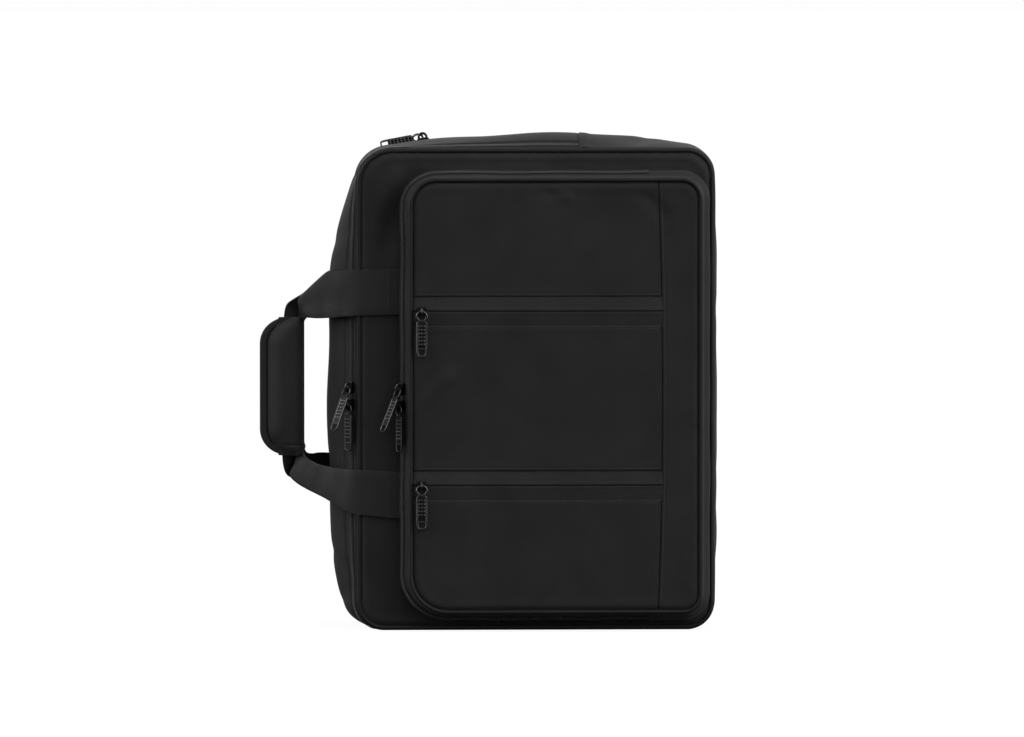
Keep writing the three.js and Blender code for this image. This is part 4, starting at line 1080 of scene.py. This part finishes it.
# Rows along the grip and columns across it, closer together at its ends, its band and its fold
end_rows = np.array([0, 0.3, 0.8, 1.6, 2.6, 3.8, 5.2, 6.8, 8.4, 9.2, 9.8, 10.6, 12, 14, 16.5, 19.5, 23])
long = GRIP_TOP - GRIP_BOTTOM
middle_rows = np.linspace(GRIP_CORNER_HEIGHT + 2.5, long - GRIP_CORNER_HEIGHT - 2.5, 36)
height = np.concatenate([end_rows, middle_rows, long - end_rows[::-1]])[:, None]
to_end = np.minimum(height, long - height)
across = np.concatenate([[0, 0.15, 0.5, 1.0, 1.7], np.linspace(2.6, 9, 15), np.linspace(10, 38, 26),
                         [38.5, 38.8, 38.95, 39]])[None, :] / GRIP_WIDTH
cut = GRIP_CORNER_WIDTH * (1 - quarter_round(to_end / GRIP_CORNER_HEIGHT))
reach = GRIP_WIDTH - np.minimum(cut, GRIP_WIDTH - GRIP_NARROWEST)
x = GRIP_FOLD_X - reach * (1 - across)

# Distance in from the bound edge, round its corners
corner_x = GRIP_FOLD_X - GRIP_WIDTH + GRIP_CORNER_WIDTH
dx, dz = np.maximum(0, corner_x - x), np.maximum(0, GRIP_CORNER_HEIGHT - to_end)
bound = np.where(dz > 0, GRIP_CORNER_WIDTH - np.hypot(dx, dz * GRIP_CORNER_WIDTH / GRIP_CORNER_HEIGHT),
                 x - (GRIP_FOLD_X - GRIP_WIDTH))
bound = np.maximum(0, bound)
bound = np.where(x > corner_x, np.hypot((x - corner_x) * 2.2, bound), bound)
on_edge = 1 - smooth_step(x, corner_x - 4, corner_x + 3)

# Half thickness: a flat bound lip, a groove, a body that fills out as a sine, and a round fold on the right
lip = GRIP_EDGE_THICKNESS / 2
full = np.clip((np.maximum(bound, 0.85 * reach * across) - GRIP_BAND) / 15, 0, 1)
half = lip * quarter_round(bound / 1.8) + (GRIP_THICKNESS / 2 - lip) * np.sin(full * math.pi / 2)
half = half - BAND_GROOVE * on_edge * bulge(bound, GRIP_BAND, BAND_GROOVE_WIDTH)
right = np.clip((x - GRIP_FOLD_X + FOLD_ROUND) / FOLD_ROUND, 0, 1)
half = half * np.sqrt(np.clip(1 - right ** 2.3, 0, 1)) * (0.90 + 0.10 * quarter_round(to_end / 12))
cuff = bulge(height, CUFF_HEIGHT, CUFF_WIDTH) * smooth_step(bound, GRIP_BAND, GRIP_BAND + 3)
half = half - CUFF_DEPTH * cuff * smooth_step(half, 0.5, 4) - 0.7 * np.exp(-to_end / 0.5)
slack = 0.35 * rumple(x, height, 34, 81) * smooth_step(bound, GRIP_BAND + 2, GRIP_BAND + 12)
half = np.maximum(half + slack * (1 - right), 0.02)
x = x + NUB * bulge(height, CUFF_HEIGHT - 1.5, NUB_WIDTH) * smooth_step(across, 0.9, 1)

# Both sides joined into one round wrap, and the slot inside it for the two webbings
near, far = (np.stack(np.broadcast_arrays(x, side * half, GRIP_BOTTOM + height), axis=-1) for side in (-1, 1))
outer = np.concatenate([near, far[:, ::-1][:, 1:-1]], axis=1)
turn_at = np.arctan2(-outer[..., 1] / GRIP_THICKNESS * 2, (outer[..., 0] - GRIP_LINE_X) / 14)
slot_x = np.clip(np.cos(turn_at) * 14, -SLOT_HALF_WIDTH, SLOT_HALF_WIDTH) + GRIP_LINE_X
slot_y = -np.clip(np.sin(turn_at) * 9, -SLOT_HALF_DEPTH, SLOT_HALF_DEPTH)
inner = np.stack([slot_x, slot_y, outer[..., 2]], axis=-1)
girth = lengths_along(outer[len(outer) // 2])
uv = np.stack(np.broadcast_arrays(girth[None, :], height), axis=-1)
band = on_edge * (1 - smooth_step(bound, GRIP_BAND - 0.8, GRIP_BAND + 0.4))
band = np.concatenate([band, band[:, ::-1][:, 1:-1]], axis=1)
grip = make_piece("grip_wrap", [skin(outer, inner, uv, round_columns=True, band=band)])

# Grip cloth: a fine dense nylon laminated to foam, soft and even. Its bound edge is one flat dark grey.
grip_cloth = woven_material("grip_cloth", "#161616", "#1f1f1f", 0.8, 0.8, 0.07, 0.65, 0.12, 0.04)
tint(grip_cloth, "band", "#191919")
fit(grip, grip_cloth, "grip_cloth", "handle_grip")

seam_z = np.linspace(GRIP_BOTTOM + 10, GRIP_TOP - 10, 60)
to_corner = np.minimum(seam_z - GRIP_BOTTOM, GRIP_TOP - seam_z) / GRIP_CORNER_HEIGHT
seam_x_in = GRIP_FOLD_X - GRIP_WIDTH + GRIP_BAND - 1.4
seam_x_in = seam_x_in + (GRIP_CORNER_WIDTH - GRIP_BAND) * (1 - quarter_round(to_corner))
seams = [stitches(np.stack([seam_x_in, np.full_like(seam_z, y), seam_z], axis=1),
                  np.array([[0.0, y, 0.0]]), 3.2) for y in (-lip - 0.05, lip + 0.05)]
fit(make_piece("grip_stitches", seams, 80), thread, "grip_cloth")

# Zip sliders
# Die-cast zinc bodies plated in dark gunmetal, with a cast loop that the pull hangs from. The edges are painted
# lighter, as rubbed plating and painted highlight. Seven are alike; those of the face lie along the hinge.

HINGE_HEIGHT = 4.1
SLIDER_LENGTH, SLIDER_WIDTH = 11.0, 8.4
LOOP_RADIUS, LOOP_TAIL = 3.4, 0.42

# Gunmetal: zinc plated dark grey, satin. Its edges are painted brighter, as rubbed plating and painted
# highlight; elsewhere it stays nearly black.
gunmetal, tree, shader = new_material("gunmetal_plate")
spot = add_node(tree, "ShaderNodeTexCoord").outputs["Object"]
speck = add_node(tree, "ShaderNodeTexNoise", {"Vector": spot, "Scale": 700.0, "Detail": 4.0}).outputs["Fac"]
# Painted highlight and rubbed plating: the edge mark and a fine speckle blend the dark plating to light metal
wear = add_node(tree, "ShaderNodeAttribute", attribute_name="wear").outputs["Fac"]
wear_and_highlight_level = add_node(tree, "ShaderNodeMath", {0: speck, 1: 0.5, 2: wear}, operation="MULTIPLY_ADD").outputs[0]
share = add_node(tree, "ShaderNodeMapRange", {"Value": wear_and_highlight_level, "From Min": 0.55, "From Max": 1.3})
tone = add_node(tree, "ShaderNodeMix", {0: share.outputs[0], 6: hex_colour("#1b1b1c"),
                                        7: hex_colour("#8c8c8e")}, data_type="RGBA")
rough = add_node(tree, "ShaderNodeMapRange", {"Value": speck, "To Min": 0.3, "To Max": 0.46})
bump = add_node(tree, "ShaderNodeBump", {"Height": speck, "Distance": 0.00004})
feed(shader, {"Base Color": tone.outputs[2], "Roughness": rough.outputs[0], "Normal": bump.outputs["Normal"],
              "Metallic": 1.0})


def squarish(value, power):
    """A sine or cosine bent towards a square: its sign, times its size to the power of 2 / power."""
    return np.sign(value) * np.abs(value) ** (2 / power)


def rounded_block(size, centre, power=4.0, turns=24, rows=13, taper=0.0, wear_and_highlight_at=0.75):
    """A block with rounded edges: a superellipsoid of the given power, narrowed along its Y axis by taper.
    Its mark for rubbed plating and painted highlight is the share of the way that a point is towards two faces
    at once, that is, on an edge."""
    up = np.linspace(-math.pi / 2, math.pi / 2, rows + 2)[1:-1][:, None]
    around = (np.arange(turns) + 0.5)[None, :] / turns * 2 * math.pi
    ring = squarish(np.cos(up), power)
    ball = np.stack(np.broadcast_arrays(ring * squarish(np.cos(around), power),
                                        ring * squarish(np.sin(around), power),
                                        squarish(np.sin(up), power)), axis=-1)
    points = ball * np.array(size) / 2
    points[..., 0] *= 1 - taper * (1 - ball[..., 1]) / 2
    edge = smooth_step(np.sort(np.abs(ball), axis=-1)[..., 1], wear_and_highlight_at, wear_and_highlight_at + 0.25)
    return loft(points + np.array(centre), wear=edge)


def bar_along(path, half_width, half_height, flat, power=3.5, sides=12, closed=False, worn=1.0):
    """A bar carried along a path, its section a superellipse whose height is along flat, its outer corners
    marked, as much as worn says, for rubbed plating and painted highlight."""
    path = np.asarray(path, float)
    if closed:
        along = unit(np.roll(path, -1, 0) - np.roll(path, 1, 0))
    else:
        along = unit(np.gradient(path, axis=0))
    side = unit(np.cross(along, np.asarray(flat, float)))
    up = np.cross(side, along)
    angle = (np.arange(sides) + 0.5) / sides * 2 * math.pi
    cos, sin = squarish(np.cos(angle), power), squarish(np.sin(angle), power)
    rings = path[:, None] + side[:, None] * cos[None, :, None] * half_width
    rings = rings + up[:, None] * sin[None, :, None] * half_height
    edge = worn * smooth_step(np.minimum(np.abs(cos), np.abs(sin)), 0.5, 0.85)
    return loft(rings, closed=closed, wear=np.broadcast_to(edge, rings.shape[:2]))


def slider_parts(along_hinge):
    """A slider in its own frame: X is the hinge, -Y the way the pull hangs, Z out of the bag. Two wings with
    a gap for the tape, a neck, a crowned top plate with raised rails, and the loop."""
    long, wide = SLIDER_LENGTH, SLIDER_WIDTH
    parts = [rounded_block((wide, long, 1.5), (0, 0, 2.15), 4.5, 28, 13, 0.22),
             rounded_block((wide * 0.94, long * 0.96, 1.1), (0, 0, 0.75), 4.5, 28, 9, 0.22, 0.95)]
    for x in (-wide, wide):
        rail = np.array([[x * 0.40, -long * 0.36, 2.5], [x * 0.44, 0, 2.75], [x * 0.42, long * 0.38, 2.6]])
        parts.append(bar_along(through(rail, 9), 0.42, 0.4, (0, 0, 1), 2.5, 8))
    if along_hinge:
        for part in parts:
            part["points"] = part["points"][:, [1, 0, 2]] * np.array([1, -1, 1])
    angle = np.linspace(-LOOP_TAIL, math.pi + LOOP_TAIL, 21)
    arch = np.stack([0 * angle, LOOP_RADIUS * np.cos(angle),
                     HINGE_HEIGHT - 0.1 + LOOP_RADIUS * np.sin(angle)], axis=1)
    parts.append(bar_along(arch, 1.15, 0.78, (1, 0, 0), 2.6, 12, worn=0.9))
    parts.append(rounded_block((2.6, 8.6, 1.4), (0, 0, 2.9), 3.5, 20, 9))
    return parts


# Zip pulls
# Long cast tabs on a ring. Each has a sunk grip panel with rows of small raised pips on both faces, and an
# open loop at the end. They hang freely from their sliders' loops.
PULL_WIDTH, PULL_THICKNESS = 9.4, 1.8
EYE_CENTRE, EYE_RADIUS, EYE_HOLE = 4.3, 5.2, 3.4
PIP_SIZE, PIP_COLUMNS, PIP_PITCH = (1.15, 1.25, 1.1), (-2.3, 0.0, 2.3), 3.15
PANEL_THICKNESS, OPEN_END = 0.8, 7.2


def pull_parts(rows, length, twist):
    """A pull in its own frame: the hinge is the origin, -Y runs down the tab and Z is its thickness. twist
    turns it about its length, as its loose ring allows."""
    around = np.arange(32) / 32 * 2 * math.pi
    middle, rim = (EYE_RADIUS + EYE_HOLE) / 2, (EYE_RADIUS - EYE_HOLE) / 2
    ring = np.stack([middle * np.cos(around), middle * np.sin(around) - EYE_CENTRE, 0 * around], axis=1)
    parts = [bar_along(ring, rim, PULL_THICKNESS / 2, (0, 0, 1), 2.8, 12, closed=True)]

    # The frame of the tab: one half of its outline, as shares of its half width and places down it
    top, end = -EYE_CENTRE - EYE_RADIUS + 0.6, -length
    half = PULL_WIDTH / 2 - 0.75
    side = np.array([(0.55, top - 0.1), (0.93, top - 1.0), (1, top - 2.6), (1, -20), (1, -28), (1, end + 7.5),
                     (0.97, end + 5), (0.86, end + 1.9), (0.6, end + 0.8)]) * (half, 1)
    loop = np.concatenate([[(0, top)], side, [(0, end + 0.7)], side[::-1] * (-1, 1), [(0, top)]])
    walk = through(np.concatenate([loop, np.zeros((len(loop), 1))], axis=1), 121)[:-1]
    parts.append(bar_along(walk, 0.75, PULL_THICKNESS / 2, (0, 0, 1), 3.2, 12, closed=True))
    bridge = np.stack([np.linspace(-half, half, 9), np.full(9, end + OPEN_END), np.zeros(9)], axis=1)
    parts.append(bar_along(bridge, 0.55, PULL_THICKNESS / 2 * 0.9, (0, 0, 1), 3.0, 10))

    # The sunk panel and its pips
    high, low = top - 0.6, end + OPEN_END
    parts.append(rounded_block((2 * half + 0.6, high - low, PANEL_THICKNESS), (0, (high + low) / 2, 0),
                               8.0, 24, 9, 0, 2.0))
    pip = rounded_block(PIP_SIZE, (0, 0, 0), 2.4, 8, 5, 0, 2.0)
    places = np.meshgrid(PIP_COLUMNS, high - 3.0 - np.arange(rows) * PIP_PITCH, [-0.42, 0.42], indexing="ij")
    places = np.stack(places, axis=-1).reshape(-1, 3)
    upright = np.broadcast_to(np.eye(3), (len(places), 3, 3))
    # The pips are marked all over for rubbed plating and painted highlight.
    parts.append(repeated(pip["points"], pip["faces"], places, upright, wear=0.72))
    cos, sin = math.cos(twist), math.sin(twist)
    spin = np.array([[cos, 0, -sin], [0, 1, 0], [sin, 0, cos]])
    return [{**part, "points": part["points"] @ spin} for part in parts]


def placed(parts, origin, axes, turn=0.0):
    """Parts moved from their own frame: turned about X by turn, then set on the axes."""
    cos, sin = math.cos(turn), math.sin(turn)
    spin = np.array([[1, 0, 0], [0, cos, -sin], [0, sin, cos]])
    return [{**part, "points": part["points"] @ spin.T @ axes + origin} for part in parts]


# Each pull: its length below the hinge, its rows of pips, and in degrees how far it leans out at rest, how
# far it is twisted and how steeply its tab slopes down to the left, where 90 is straight down
PULLS = {"main_upper": (41.0, 6, 25, 0, 90), "main_lower": (40.4, 6, 0, 0, 90),
         "pocket_upper": (41.0, 6, 25, 0, 90), "pocket_lower": (40.4, 6, 0, 0, 90),
         "rear_top": (37.6, 6, -2, 50, 8.5955), "face_upper": (39.6, 6, 0, 0, 90),
         "face_lower": (38.2, 5, 0, 0, 90)}
for joint in frame["joints"]:
    name = joint["child"].removesuffix("_pull")
    length, rows, lean, twist, slope = PULLS[name]
    lean, twist, slope = (math.radians(value) for value in (lean, twist, slope))
    point = np.array(joint["pos_m"]) * 1000
    hinge = -unit(np.array(joint["axis"]))
    out = unit(np.cross([-math.cos(slope), 0, -math.sin(slope)], hinge))
    axes = np.stack([hinge, np.cross(out, hinge), out])
    body = placed(slider_parts(name.startswith("face")), point - out * HINGE_HEIGHT, axes)
    fit(make_piece(name + "_slider_body", body, 40), gunmetal, "pull_metal", name + "_slider")
    tab = placed(pull_parts(rows, length, twist), point, axes, -lean)
    fit(make_piece(name + "_pull_tab", tab, 40), gunmetal, "pull_metal", name + "_pull", body=name + "_pull")

# Floor, light and camera
# A plain white sweep under even studio light from soft boxes on the left, on the right and in front. The
# camera is a long lens nine metres away, a little above the middle of the bag and a little to its left.

bpy.ops.mesh.primitive_plane_add(size=60)
floor = bpy.context.object
floor.name = "studio_floor"
# White paper: dull and even. The camera sees it bright, and it throws little light back up at the bag.
paper, tree, shader = new_material("white_paper")
seen = add_node(tree, "ShaderNodeLightPath").outputs["Is Camera Ray"]
glow = add_node(tree, "ShaderNodeMix", {0: seen, 2: 0.03, 3: 0.94}, data_type="FLOAT").outputs[0]
feed(shader, {"Base Color": (0.06, 0.06, 0.06, 1), "Roughness": 1.0, "Specular IOR Level": 0.0,
              "Emission Color": (1, 1, 1, 1), "Emission Strength": glow})
floor.data.materials.append(paper)

# Soft boxes of the studio: the way to each, how wide it reaches as the cosine of its half angle, and its
# strength. The camera sees an even white, and the light comes from the boxes and a dim room.
SOFT_BOXES = (((-0.94, -0.12, 0.30), 0.72, 4.2), ((0.92, -0.38, 0.14), 0.76, 2.6),
              ((0, -0.2, 0.98), 0.70, 0.1), ((0.66, -0.56, 0.50), 0.20, 2.3), ((0, 1, 0.05), 0.45, 1.4))
ROOM_LIGHT, WHITE_SEEN = 0.10, 0.985
world = bpy.data.worlds.new("studio")
bpy.context.scene.world = world
world.use_nodes = True
tree = world.node_tree
way = add_node(tree, "ShaderNodeTexCoord").outputs["Generated"]
light = ROOM_LIGHT
for direction, reach, strength in SOFT_BOXES:
    towards = add_node(tree, "ShaderNodeVectorMath", {0: way, 1: tuple(unit(np.array(direction)))},
                       operation="DOT_PRODUCT").outputs["Value"]
    box = add_node(tree, "ShaderNodeMapRange", {"Value": towards, "From Min": reach, "To Max": strength},
                   interpolation_type="SMOOTHSTEP").outputs[0]
    light = add_node(tree, "ShaderNodeMath", {0: box, 1: light}, operation="ADD").outputs[0]
seen = add_node(tree, "ShaderNodeLightPath").outputs["Is Camera Ray"]
level = add_node(tree, "ShaderNodeMix", {0: seen, 2: light, 3: WHITE_SEEN}, data_type="FLOAT").outputs[0]
feed(tree.nodes["Background"], {"Color": (1, 1, 1, 1), "Strength": level})

AIM = Vector((-0.0210, -0.06, 0.2287))
AZIMUTH, ELEVATION, DISTANCE = math.radians(-2), math.radians(3), 9.0
away = Vector((math.sin(AZIMUTH) * math.cos(ELEVATION), -math.cos(AZIMUTH) * math.cos(ELEVATION),
               math.sin(ELEVATION)))
lens = bpy.data.cameras.new("long_lens")
lens.sensor_width, lens.lens = 36.0, 364.5
lens.clip_start, lens.clip_end = 0.1, 100.0
camera = bpy.data.objects.new("camera", lens)
bpy.context.scene.collection.objects.link(camera)
camera.location = AIM + away * DISTANCE
camera.rotation_mode = "QUATERNION"
camera.rotation_quaternion = (-away).to_track_quat("-Z", "Y")
bpy.context.scene.camera = camera
bpy.context.scene.view_settings.view_transform = "Standard"
